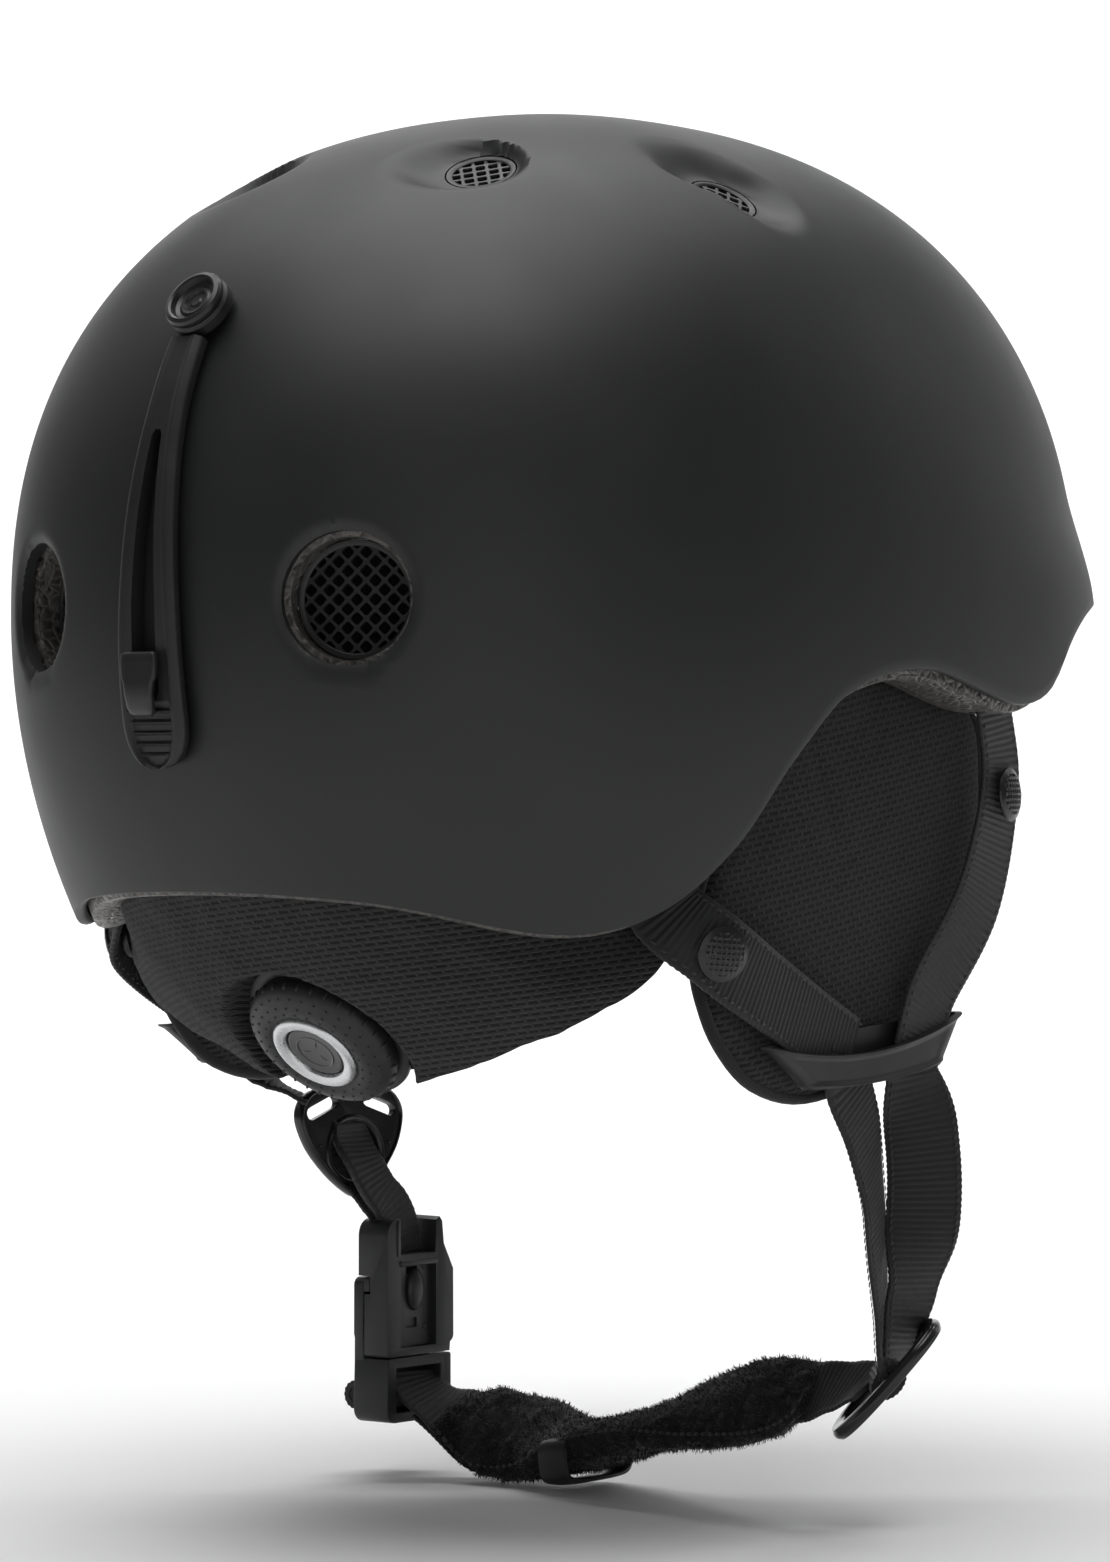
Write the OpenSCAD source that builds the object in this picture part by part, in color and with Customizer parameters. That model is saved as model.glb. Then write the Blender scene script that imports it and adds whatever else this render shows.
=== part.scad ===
// Snow-style sports helmet: hard shell over a foam liner, padded ears, dial fit
// system, goggle strap retainer and a chin strap with a side-release buckle.
// Front is -Y, up is +Z, the wearer's right is -X. The origin is the middle of
// the shell's widest level.

/* [Shell] */
// Half width of the shell at its widest level
shell_w = 108; // [95:1:120]
// Reach of the shell behind the origin
shell_back = 149; // [135:1:160]
// Reach of the shell in front of the origin
shell_front = 129; // [115:1:140]
// Height of the crown above the widest level
shell_h = 120; // [105:1:130]
// Wall of the hard shell
shell_wall = 3; // [2:0.5:4]
// Squareness of the plan outline, 2 is an ellipse
plan_power = 2.32; // [2:0.02:2.8]
// Squareness of the side profile, 2 is an ellipse
side_power = 2.26; // [2:0.02:2.8]
// How far the wall draws in 80 mm below the widest level, as a share
tuck = 0.145; // [0.05:0.005:0.2]
// Outward flare of the front brim
brim_flare = 4.5; // [0:0.5:6]

/* [Liner] */
// Gap between the shell and the foam liner
liner_gap = 0.5; // [0.3:0.1:1]
// Depth of the liner's inner face below the shell surface over the crown
liner_depth = 25; // [20:1:30]
// Depth of the liner's inner face at the rim
rim_depth = 19; // [15:1:22]
// How far the foam stands below the rim of the shell
liner_drop = 1.4; // [0.5:0.1:2]
// Thickness of the comfort pads
pad_t = 5.5; // [3:0.5:8]

/* [Vents] */
// Radius of the two round rear vents
rear_vent_r = 14.5; // [10:0.5:16]
// Radius of the throat of the crown vents
crown_vent_r = 8.5; // [6:0.5:10]
// Pitch of the vent screens
screen_pitch = 2.9; // [2.5:0.1:5]

/* [Fit dial] */
// Radius of the dial's flange
flange_r = 20.2; // [18:0.2:22]
// Radius of the dial
dial_r = 18.4; // [15:0.2:19]
// Tilt of the dial's axis below the horizontal
dial_tilt = 44; // [35:1:50]
// Number of teeth on the pinion, module 1
pinion_teeth = 10; // [10:2:12]

/* [Webbing] */
// Width of the strap webbing
web_w = 18; // [15:1:20]
// Thickness of the strap webbing
web_t = 1.6; // [1.2:0.1:2]

/* [Buckle] */
// Width of the buckle, along the slide
buckle_w = 25; // [22:1:28]
// Thickness of the buckle
buckle_t = 9; // [8:0.5:11]
// Height of the upper half
buckle_h = 34; // [30:1:38]

/* [Goggle strap] */
// Half width of the retainer strap at its tab
retainer_w = 8.9; // [7:0.1:10]
// Thickness of the retainer strap
retainer_t = 4; // [3:0.5:5]

/* [Hidden] */
$fn = 48;

// ---- small maths -----------------------------------------------------------
function mix(a, b, t) = a + (b - a) * t;
function clamp01(t) = min(1, max(0, t));
function ease(t) = let (u = clamp01(t)) u * u * (3 - 2 * u);
function unit(v) = v / norm(v);
function last_below(pts, x) = max([0, for (k = [0 : len(pts) - 2]) if (pts[k][0] <= x) k]);
function slope(pts, k) = (k == 0 || k == len(pts) - 1) ? 0
  : (pts[k + 1][1] - pts[k - 1][1]) / (pts[k + 1][0] - pts[k - 1][0]);
// Smooth curve through [x, value] points, flat at both ends
function curve_at(pts, x) =
  let (k = last_below(pts, x), h = pts[k + 1][0] - pts[k][0], u = clamp01((x - pts[k][0]) / h))
  (1 + 2 * u) * (1 - u) * (1 - u) * pts[k][1] + u * (1 - u) * (1 - u) * h * slope(pts, k)
  + u * u * (3 - 2 * u) * pts[k + 1][1] + u * u * (u - 1) * h * slope(pts, k + 1);
// Smooth path through points, steps per span
function path_pt(p, k, u) =
  let (a = p[max(0, k - 1)], b = p[k], c = p[k + 1], d = p[min(len(p) - 1, k + 2)])
  0.5 * (2 * b + (c - a) * u + (2 * a - 5 * b + 4 * c - d) * u * u + (3 * b - a - 3 * c + d) * u * u * u);
function smooth_path(p, steps) =
  [for (k = [0 : len(p) - 2]) for (j = [0 : steps - 1]) path_pt(p, k, j / steps), p[len(p) - 1]];
function tangent(p, i) = unit(p[min(i + 1, len(p) - 1)] - p[max(i - 1, 0)]);

// ---- shell surface ---------------------------------------------------------
// Height of the rim against the angle from the rear centre line
rim_points = [[0, -63], [18, -65], [36, -72], [47, -67.5], [56, -53], [63, -34], [71, -19],
  [85, -13], [100, -18.5], [108, -20.5], [115, -17], [121, -5], [127, 1.5], [135, 4.5], [150, 6],
  [180, 8]];
function from_rear(th) = let (a = abs(th - 90)) a > 180 ? 360 - a : a;
function rim_z(th) = curve_at(rim_points, from_rear(th));
function reach(th) = sin(th) > 0 ? shell_back : shell_front;
function plan_r(th) = pow(pow(abs(cos(th)) / shell_w, plan_power)
  + pow(abs(sin(th)) / reach(th), plan_power), -1 / plan_power);
function draw_in(z) = z > 0 ? pow(max(0, 1 - pow(z / shell_h, side_power)), 1 / side_power)
  : 1 - tuck * pow(z / 80, 2);
function flare(th, z) = brim_flare * ease((from_rear(th) - 100) / 40) * ease((32 - z) / 30);
function plan_push(v, reach_v, q) = pow(q, 1 - plan_power) * pow(abs(v) / reach_v, plan_power - 1)
  * sign(v) / reach_v;
// Outward normal of the shell at a surface point
function shell_normal(th, z) =
  let (q = draw_in(z))
  q < 0.01 ? [0, 0, 1] :
  let (x = plan_r(th) * q * cos(th), y = plan_r(th) * q * sin(th),
    gx = plan_push(x, shell_w, q), gy = plan_push(y, reach(th), q),
    w = pow(q, side_power - 1))
  z > 0 ? unit([w * gx, w * gy, pow(z / shell_h, side_power - 1) / shell_h])
        : unit([gx, gy, 2 * tuck * z / 6400]);
// Point on the shell, moved inwards by depth
function shell_pt(th, z, depth) =
  let (r = plan_r(th) * draw_in(z) + flare(th, z))
  [r * cos(th), r * sin(th), z] - depth * shell_normal(th, z);
// Same, with x and z given, on the rear half
function rear_angle(x, z) = let (g = min(1, abs(x) / (shell_w * draw_in(z))),
  y = shell_back * draw_in(z) * pow(1 - pow(g, plan_power), 1 / plan_power)) atan2(y, x);
function rear_pt(x, z, depth) = shell_pt(rear_angle(x, z), z, depth);

// Rivet that holds the goggle strap, on the rear centre line
rear_th = 90;
rivet_z = 63.5;
shank_r = 3.2;

// ---- mesh builders ---------------------------------------------------------
// Closed skin over rings of equal length, capped at both ends
module skin(rings) {
  n = len(rings[0]);
  m = len(rings);
  pts = [for (r = rings) for (p = r) p];
  sides = [for (i = [0 : m - 2]) for (j = [0 : n - 1]) let (k = (j + 1) % n)
    each [[i * n + j, (i + 1) * n + k, i * n + k], [i * n + j, (i + 1) * n + j, (i + 1) * n + k]]];
  cap_a = [for (j = [0 : n - 1]) j];
  cap_b = [for (j = [n - 1 : -1 : 0]) (m - 1) * n + j];
  polyhedron(pts, concat(sides, [cap_a, cap_b]));
}
// Cup between an outer and an inner family of rings that run from pole to pole
module cup(top, rings, bottom) {
  n = len(rings[0]);
  m = len(rings);
  pts = concat([top], [for (r = rings) for (p = r) p], [bottom]);
  z = len(pts) - 1;
  first = [for (j = [0 : n - 1]) [0, 1 + (j + 1) % n, 1 + j]];
  sides = [for (i = [0 : m - 2]) for (j = [0 : n - 1]) let (k = (j + 1) % n, a = 1 + i * n, b = a + n)
    each [[a + j, a + k, b + k], [a + j, b + k, b + j]]];
  c = 1 + (m - 1) * n;
  last = [for (j = [0 : n - 1]) [z, c + j, c + (j + 1) % n]];
  polyhedron(pts, concat(first, sides, last));
}
// Closed band: sections of equal length that run round and meet again
module hoop(sections) {
  n = len(sections[0]);
  m = len(sections);
  pts = [for (r = sections) for (p = r) p];
  polyhedron(pts, [for (i = [0 : m - 1]) for (j = [0 : n - 1])
    let (k = (j + 1) % n, a = i * n, b = ((i + 1) % m) * n)
    each [[a + j, b + k, a + k], [a + j, b + j, b + k]]]);
}
// Slab between two grids of points
module slab(front, back) {
  m = len(front);
  n = len(front[0]);
  ring = function (g0, g1, i) concat(g0[i], [for (j = [n - 1 : -1 : 0]) g1[i][j]]);
  skin([for (i = [0 : m - 1]) ring(front, back, i)]);
}
// Flat ribbon along a path, side is the width direction at each point
module ribbon(path, sides, width, thick) {
  skin([for (i = [0 : len(path) - 1])
    let (t = tangent(path, i), s = unit(sides[i] - (sides[i] * t) * t), n = cross(t, s),
      a = s * width / 2, b = n * thick / 2)
    [path[i] - a - b, path[i] + a - b, path[i] + a + b, path[i] - a + b]]);
}
// Webbing along hand-set points, with the width direction turning between two
module webbing(points, side_a, side_b, width = web_w, thick = web_t, steps = 5) {
  path = smooth_path(points, steps);
  n = len(path) - 1;
  ribbon(path, [for (i = [0 : n]) mix(side_a, side_b, ease(i / n))], width, thick);
}
// Geometry mirrored to the wearer's left when side is 1, right when -1
module on_side(side) {
  if (side > 0) children();
  else mirror([1, 0, 0]) children();
}
// Frame with its own axes: x, y and z given as unit vectors
module in_frame(at, ax, ay, az) {
  multmatrix([[ax[0], ay[0], az[0], at[0]], [ax[1], ay[1], az[1], at[1]],
    [ax[2], ay[2], az[2], at[2]], [0, 0, 0, 1]]) children();
}

// ---- shell and liner -------------------------------------------------------
around = 72;
up_steps = 15;
function level(th, i, n, drop) =
  let (low = asin((rim_z(th) - drop) / shell_h)) shell_h * sin(low + (90 - low) * i / n);
function dome_ring(i, n, depth_rim, depth_top, drop) = [for (j = [0 : around - 1])
  let (th = j * 360 / around, d = mix(depth_rim, depth_top, ease(i / n * 1.6)))
  shell_pt(th, level(th, i, n, drop), d)];

module dome(depth_out, rim_in, top_in, drop_out, drop_in) {
  outer = [for (i = [up_steps - 1 : -1 : 0]) dome_ring(i, up_steps, depth_out, depth_out, drop_out)];
  inner = [for (i = [0 : up_steps - 1]) dome_ring(i, up_steps, rim_in, top_in, drop_in)];
  cup([0, 0, shell_h - depth_out], concat(outer, inner), [0, 0, shell_h - top_in]);
}

rear_vent_at = [46, 140, 0];
rear_vent_turn = 26;
// Crown vents: centre on the shell for the wearer's left
crown_back_at = [34, 80, 102];
crown_side_at = [67, 29, 98];
crown_back_dir = unit([0.22, 0.5, 0.84]);
crown_side_dir = unit([0.57, 0.15, 0.8]);

module at_rear_vent(side) {
  on_side(side) translate(rear_vent_at) rotate([0, 0, -rear_vent_turn]) rotate([-90, 0, 0]) children();
}
module along(at, dir) {
  ax = unit(cross([0, 1, 0], dir));
  in_frame(at, ax, cross(dir, ax), dir) children();
}
module at_crown_vent(side, at, dir) {
  on_side(side) along(at, dir) children();
}
module vent_holes(rear_r, crown_r) {
  for (side = [1, -1]) {
    at_rear_vent(side) translate([0, 0, -60]) cylinder(h = 80, r = rear_r);
    at_crown_vent(side, crown_back_at, crown_back_dir)
      translate([0, 0, -60]) cylinder(h = 80, r = crown_r);
    at_crown_vent(side, crown_side_at, crown_side_dir)
      translate([0, 0, -60]) cylinder(h = 80, r = crown_r);
  }
}

module outer_shell() {
  color("#202124") difference() {
    dome(0, shell_wall, shell_wall, 0, 0);
    vent_holes(rear_vent_r, crown_vent_r);
    at_rivet() translate([0, 0, -6]) cylinder(h = 12, r = shank_r + 0.1);
  }
}

liner_out = shell_wall + liner_gap;
// How much narrower the vents are through the foam
rear_step = 1.2;
crown_step = 1;
// Slots in the foam that the webbing goes up into: middle, and turn about the upright
slot_t = 5;
front_slot_h = 34;
rear_slot_h = 30;
front_slot_at = [95.5, -36, -14];
rear_slot_at = [80, 73, -62];
front_slot_turn = -9;
rear_slot_turn = 47;
module foam_liner() {
  color("#2b2a2a") difference() {
    dome(liner_out, rim_depth, liner_depth, liner_drop, liner_drop + 0.6);
    vent_holes(rear_vent_r - rear_step, crown_vent_r - crown_step);
    for (side = [1, -1]) on_side(side) {
      translate(front_slot_at) rotate([0, 0, front_slot_turn])
        cube([slot_t, web_w + 3, front_slot_h], center = true);
      translate(rear_slot_at) rotate([0, 0, rear_slot_turn])
        cube([slot_t, web_w + 3, rear_slot_h], center = true);
    }
  }
}

// Square lattice disc, turned 45 degrees, seated in a vent
module screen(radius, thick, pitch) {
  bar = pitch * 0.3;
  count = ceil(radius / pitch);
  intersection() {
    cylinder(h = thick, r = radius);
    rotate([0, 0, 45]) union() {
      for (i = [-count : count]) {
        translate([i * pitch - bar / 2, -radius, 0]) cube([bar, 2 * radius, thick]);
        translate([-radius, i * pitch - bar / 2, 0]) cube([2 * radius, bar, thick]);
      }
    }
  }
  difference() {
    cylinder(h = thick, r = radius);
    translate([0, 0, -1]) cylinder(h = thick + 2, r = radius - 1);
  }
}
screen_gap = 0.35;
screen_t = 2;
rear_screen_depth = 13;
crown_screen_depth = 9;
module rear_screen(side) {
  color("#141414") at_rear_vent(side) translate([0, 0, -rear_screen_depth])
    screen(rear_vent_r - rear_step - screen_gap, screen_t, screen_pitch);
}
module crown_screen(side, at, dir) {
  color("#141414") at_crown_vent(side, at, dir) translate([0, 0, -crown_screen_depth])
    screen(crown_vent_r - crown_step - screen_gap, screen_t, screen_pitch);
}

// ---- comfort pads ----------------------------------------------------------
pad_gap = 0.4;
module inner_patch(th_a, th_b, z_a, z_b, columns = 12, rows = 4, round_z = 5) {
  depth = liner_depth + pad_gap;
  function grid(d, inset) = [for (i = [0 : columns])
    let (u = i / columns, th = mix(th_a, th_b, u), e = round_z * (1 - sin(180 * u)))
    [for (k = [0 : rows]) shell_pt(th, mix(z_a + e + inset, z_b - e - inset, k / rows), d)]];
  slab(grid(depth + pad_t, 1.5), grid(depth, 0));
}
module brow_pad() { color("#1b1b1c") inner_patch(210, 330, 22, 52); }
module side_pad_right() { color("#1b1b1c") inner_patch(163, 200, 32, 66, 6); }
module side_pad_left() { color("#1b1b1c") inner_patch(-20, 17, 32, 66, 6); }
module rear_pad() { color("#1b1b1c") inner_patch(76, 104, 14, 60, 6); }
module crown_pad() {
  color("#1b1b1c") {
    ring = function (z, d) [for (j = [0 : 23]) shell_pt(j * 15, z, d)];
    depth = liner_depth + pad_gap;
    cup([0, 0, shell_h - depth],
      [ring(118.5, depth), ring(114.5, depth), ring(115, depth + pad_t), ring(118.5, depth + pad_t)],
      [0, 0, shell_h - depth - pad_t]);
  }
}

// ---- ear pads --------------------------------------------------------------
ear_out = 86.4;
ear_t = 11;
ear_outline = [[-31, -26], [-31, -45], [-26, -72], [-17, -93], [0, -106], [22, -110], [40, -107],
  [53, -98], [60, -87], [62.5, -76], [61, -64], [50, -46], [38, -31], [26, -22.5], [12, -18],
  [0, -17.5], [-14, -20]];
function closed_path(p, steps) = let (n = len(p)) [for (k = [0 : n - 1]) for (j = [0 : steps - 1])
  let (a = p[(k + n - 1) % n], b = p[k], c = p[(k + 1) % n], d = p[(k + 2) % n], u = j / steps)
  0.5 * (2 * b + (c - a) * u + (2 * a - 5 * b + 4 * c - d) * u * u + (3 * b - a - 3 * c + d) * u * u * u)];
module ear_pad(side) {
  color("#161617") on_side(side) translate([ear_out - ear_t, 0, 0]) rotate([90, 0, 90])
    linear_extrude(height = ear_t) polygon(closed_path(ear_outline, 3));
}

// ---- nape pad and fit system -----------------------------------------------
dial_at = [0, 90.3, -94.4];
pad_skin = 3.2;
neck_r = 16.4;
nape_half = 46;
nape_rows = 6;
nape_cols = 20;
// Lower edge of the nape pad against the angle from the rear: radius and height
nape_low_r = [[0, 83], [14, 86], [27, 89.5], [38, 96], [50, 101]];
nape_low_z = [[0, -109], [14, -106.5], [27, -99.5], [38, -92], [50, -82]];
function nape_top(th) = let (z = rim_z(th) - liner_drop - 1.8) shell_pt(th, z, 13);
function nape_pt(b, v) =
  let (th = 90 + b, top = nape_top(th), a = abs(b), r = curve_at(nape_low_r, a),
    low = [r * cos(th), r * sin(th), curve_at(nape_low_z, a)],
    bulge = 3.5 * sin(180 * v) * sin(90 * (1 - a / 70)))
  mix(top, low, v) + bulge * unit([cos(th), sin(th), -1]);
function nape_depth(b, v, d) =
  let (e = 0.01, p = nape_pt(b, v), q = nape_pt(b + 0.5, v), r = nape_pt(b, v + e))
  p - d * unit(cross(q - p, r - p));
function nape_grid(d) = [for (i = [0 : nape_cols])
  let (b = mix(-nape_half, nape_half, i / nape_cols))
  [for (k = [0 : nape_rows]) nape_depth(b, k / nape_rows, d)]];
module in_dial_frame() { translate(dial_at) rotate([-(90 + dial_tilt), 0, 0]) children(); }
module nape_pad() {
  color("#1a1a1b") difference() {
    slab(nape_grid(pad_skin), nape_grid(0));
    in_dial_frame() translate([0, 0, -20]) cylinder(h = 40, r = neck_r + 0.6);
    in_dial_frame() translate([0, 0, -0.2]) cylinder(h = 20, r = flange_r + 0.5);
  }
}

// Band geometry in the dial's frame: the bands bend about an axis along y
band_axis_z = -84;
left_r = 75;
right_r = 77;
rack_t = 1.6;
module about_band() { translate([0, 0, band_axis_z]) children(); }
// Ring sector about the y axis from angle a to b (0 is +z, positive towards +x)
module sector(r0, r1, y0, y1, a, b) {
  about_band() rotate([0, -90 + a, 0]) rotate([90, 0, 0]) mirror([0, 1, 0])
    rotate_extrude(angle = b - a, $fn = 96) translate([r0, -y1]) square([r1 - r0, y1 - y0]);
}
pitch_r = pinion_teeth / 2;
tooth_step = PI;
tooth_w = 1.3;
base_r = pitch_r * cos(20);
function involute(a) = tan(a) * 180 / PI - a;
function tooth_half(r) = tooth_w / 2 / pitch_r * 180 / PI + involute(20)
  - (r > base_r ? involute(acos(base_r / r)) : 0);
function tooth_side(s) = [for (r = [pitch_r - 1.25, base_r, pitch_r, pitch_r + 0.4, pitch_r + 0.85])
  [r, s * tooth_half(r)]];
function pinion_outline() = [for (k = [0 : pinion_teeth - 1]) let (c = 90 + k * 360 / pinion_teeth)
  each concat([for (p = tooth_side(-1)) p[0] * [cos(c + p[1]), sin(c + p[1])]],
    [for (i = [4 : -1 : 0]) let (p = tooth_side(1)[i]) p[0] * [cos(c + p[1]), sin(c + p[1])]])];
// Gap between two rack teeth, straight flanks, open towards the pinion
module rack_gap(thick) {
  half = (tooth_step - tooth_w) / 2;
  root = half - 1.3 * tan(20);
  tip = half + tan(20);
  linear_extrude(height = thick) polygon([[-root, -pitch_r - 1.3], [root, -pitch_r - 1.3],
    [tip, -pitch_r + 1], [-tip, -pitch_r + 1]]);
}
gaps_each_way = 5;
slot_a = 14.5;
plate_a = 19;
plate_y = 9;
arm_y = 6;
arm_end = 56;
plate_start = -17.5;
notch_w = 6;
// A band with its rack: teeth on the -y edge of its slot, arm towards +x, a gap at the middle
module rack(r) {
  step_angle = tooth_step / r * 180 / PI;
  difference() {
    sector(r - rack_t / 2, r + rack_t / 2, -plate_y, plate_y, plate_start, arm_end);
    for (y = [-arm_y - notch_w, arm_y])
      sector(r - rack_t, r + rack_t, y, y + notch_w, plate_a, arm_end + 2);
    sector(r - rack_t, r + rack_t, -pitch_r + 0.75, pitch_r + 1.5, -slot_a, slot_a);
    for (i = [-gaps_each_way : gaps_each_way]) about_band() rotate([0, i * step_angle, 0])
      translate([0, 0, r - rack_t]) rack_gap(2 * rack_t);
    for (a = [26 : 6 : 50]) about_band() rotate([0, a, 0]) translate([0, 0, r - 3]) cylinder(h = 6, r = 2);
  }
}
module rack_left() { color("#2a2b2d") in_dial_frame() rack(left_r); }
module rack_right() { color("#2a2b2d") in_dial_frame() rotate([0, 0, 180]) rack(right_r); }

cass_half = 21;
cass_y = 12;
shaft_r = 3;
fit_gap = 0.05;
module cradle_cover() {
  color("#242526") in_dial_frame() difference() {
    union() {
      sector(78.2, 80.2, -cass_y, cass_y, -cass_half, cass_half);
      sector(73.6, 78.2, -cass_y, -cass_y + 2, -cass_half, cass_half);
      sector(73.6, 78.2, cass_y - 2, cass_y, -cass_half, cass_half);
    }
    translate([0, 0, -10]) cylinder(h = 12, r = shaft_r + fit_gap);
  }
}
module cradle_base() {
  color("#242526") in_dial_frame() difference() {
    sector(71.6, 73.6, -cass_y, cass_y, -cass_half, cass_half);
    translate([0, 0, -14]) cylinder(h = 6, r = 2 + fit_gap);
  }
}
module nape_cushion() {
  color("#1b1b1c") in_dial_frame() sector(64.5, 71.2, -17, 15, -46, 46);
}
// Sleeves that the outer ends of the bands slide in, fixed to the liner
module band_sleeve(side) {
  r = side > 0 ? left_r : right_r;
  color("#202122") in_dial_frame() rotate([0, 0, side > 0 ? 0 : 180]) difference() {
    sector(r - 2.6, r + 2.6, -8, 8, 49, 68);
    sector(r - 1.2, r + 1.2, -6.4, 6.4, 48, 67);
  }
}

// ---- dial ------------------------------------------------------------------
module dial_housing() {
  color("#1c1d1e") in_dial_frame() difference() {
    union() {
      translate([0, 0, -6]) cylinder(h = 6, r = neck_r);
      cylinder(h = 1.6, r = flange_r);
    }
    about_band() rotate([90, 0, 0]) cylinder(h = 80, r = 80.3, center = true, $fn = 96);
    translate([0, 0, -2]) cylinder(h = 4, r = 13);
    translate([0, 0, -8]) cylinder(h = 10, r = shaft_r + 0.5);
    for (k = [0 : 23]) rotate([0, 0, k * 15]) translate([13, 0, -2]) cylinder(h = 4, r = 0.7, $fn = 24);
  }
}
core_z = 1.9;
module dial_core() {
  color("#1f2021") in_dial_frame() {
    difference() {
      union() {
        translate([0, 0, core_z]) cylinder(h = 4, r = 14);
        translate([0, 0, -1.9]) cylinder(h = 3.9, r = 8);
        translate([0, 0, -6.5]) cylinder(h = 4.7, r = shaft_r);
      }
      translate([0, 0, 5.1]) cylinder(h = 3, r = 6);
    }
    translate([0, 0, -10.2]) linear_extrude(height = 3.8) polygon(pinion_outline());
    translate([0, 0, -12.2]) cylinder(h = 2.1, r = 2);
  }
}
module dial_grip() {
  color("#18191a") in_dial_frame() difference() {
    rotate_extrude() polygon([[10.6, core_z + 4.05], [14.05, core_z + 4.05], [14.05, core_z],
      [dial_r - 0.9, core_z], [dial_r, core_z + 1], [dial_r, core_z + 2.6], [dial_r - 0.8, core_z + 4.2],
      [dial_r - 2.6, core_z + 5.6], [dial_r - 5, core_z + 6.4], [10.6, core_z + 6.6]]);
    for (k = [0 : 23]) rotate([0, 0, k * 15]) translate([dial_r + 0.25, 0, core_z + 1])
      cylinder(h = 3, r = 0.6, $fn = 24);
  }
}
module dial_ring() {
  color("#c9cccf") in_dial_frame() rotate_extrude() polygon([[6.6, core_z + 4.05], [10.4, core_z + 4.05],
    [10.4, core_z + 6.5], [9.4, core_z + 7.3], [7.4, core_z + 6.9], [6.6, core_z + 6.3]]);
}
module dial_cap() {
  color("#0d0d0e") in_dial_frame() union() {
    translate([0, 0, 5.2]) cylinder(h = 2.9, r = 5.8);
    translate([0, 0, 6.1]) cylinder(h = 1.9, r = 6.5);
  }
}
// Click spring under the dial core: a ring with two sprung fingers
module ratchet_spring() {
  color("#8d9094") in_dial_frame() translate([0, 0, -1.7]) difference() {
    union() {
      cylinder(h = 0.5, r = 10);
      for (k = [0, 180]) rotate([0, 0, k]) translate([9, -1, 0]) cube([2.9, 2, 0.5]);
    }
    translate([0, 0, -1]) cylinder(h = 3, r = 8.1);
  }
}

// ---- goggle strap retainer -------------------------------------------------
hinge_z = 53;
tab_end_z = -35.5;
retainer_lift = 0.5;
retainer_half = [[-35.5, 4], [-33.5, 6.8], [-29, 8.6], [-22, retainer_w], [-5, 8.4], [20, 6.8],
  [40, 4.8], [53, 3.6]];
module retainer_body(z_a, z_b, d_in, d_out, rows = 16) {
  function grid(d, trim) = [for (i = [0 : rows]) let (z = mix(z_a, z_b, i / rows),
    w = curve_at(retainer_half, z) - trim)
    [for (k = [-3 : 3]) rear_pt(k / 3 * w, z, -d)]];
  slab(grid(d_in, 0), grid(d_out, 0.5));
}
module at_rivet() { along(shell_pt(rear_th, rivet_z, 0), shell_normal(rear_th, rivet_z)) children(); }
module clip_rivet() {
  color("#17181a") at_rivet() difference() {
    union() {
      rotate_extrude() polygon([[0, 3], [4.6, 3], [4.6, 5.2], [7.4, 5.2], [7.1, 6.4], [6, 7],
        [4.4, 6.6], [3.4, 5.6], [0, 5.4]]);
      translate([0, 0, -2.6]) cylinder(h = 5.8, r = shank_r);
    }
    translate([0, 0, 4.2]) cylinder(h = 4, r = 1.6, $fn = 6);
  }
}
module strap_eyelet() {
  color("#141516") at_rivet() difference() {
    union() {
      translate([0, 0, 1.2]) cylinder(h = 3.8, r = 7.4);
      translate([-3.4, -10.6, 1.3]) cube([6.8, 6, 3.6]);
    }
    cylinder(h = 8, r = 4.7);
  }
}
module goggle_strap() {
  color("#141516") difference() {
    retainer_body(tab_end_z, hinge_z - 0.6, retainer_lift, retainer_lift + retainer_t);
    translate([-2.3, 120, -21.6]) cube([4.6, 40, 59]);
    for (k = [0 : 4]) translate([-6, 148.2 - k * 0.55, -23.6 - k * 2.1]) rotate([0, 90, 0])
      cylinder(h = 12, r = 0.45, $fn = 16);
  }
}
hook_z = -17;
module clip_hook() {
  color("#1b1c1e") {
    along(rear_pt(0, hook_z, 0), shell_normal(rear_th, hook_z)) {
      translate([-1.9, -3, 0.15]) cube([3.8, 6, 5]);
      translate([-4.6, -5.6, 5.1]) cube([9.2, 11.6, 1.6]);
    }
  }
}

// ---- webbing, snaps and keepers --------------------------------------------
// All points are for the wearer's left; the right side is mirrored
front_web_points = [[95.5, -36, -2], [95.5, -36, -20], [96.3, -37.5, -40], [94.5, -31, -66],
  [91.6, -17, -86], [90.8, -13, -92]];
rear_web_points = [[80, 73, -52], [80.4, 72.6, -66], [89, 64, -76.5], [90.5, 42, -87], [90.6, 29, -92.6]];
front_side_a = [0.162, 0.987, 0];
front_side_b = [0, 0.9, 0.43];
rear_side_a = [0.68, -0.73, 0];
rear_side_b = [0, -0.42, 0.9];
module front_web(side) {
  color("#19191b") on_side(side) webbing(front_web_points, front_side_a, front_side_b);
}
module rear_web(side) {
  color("#19191b") on_side(side) webbing(rear_web_points, rear_side_a, rear_side_b);
}
module strap_anchors() {
  color("#3a3b3d") for (side = [1, -1]) on_side(side) {
    translate([95.5, -36, 0.6]) rotate([0, 0, front_slot_turn]) cube([3, web_w, 4], center = true);
    translate([80, 73, -49.4]) rotate([0, 0, rear_slot_turn]) cube([3, web_w, 4], center = true);
  }
}
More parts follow.
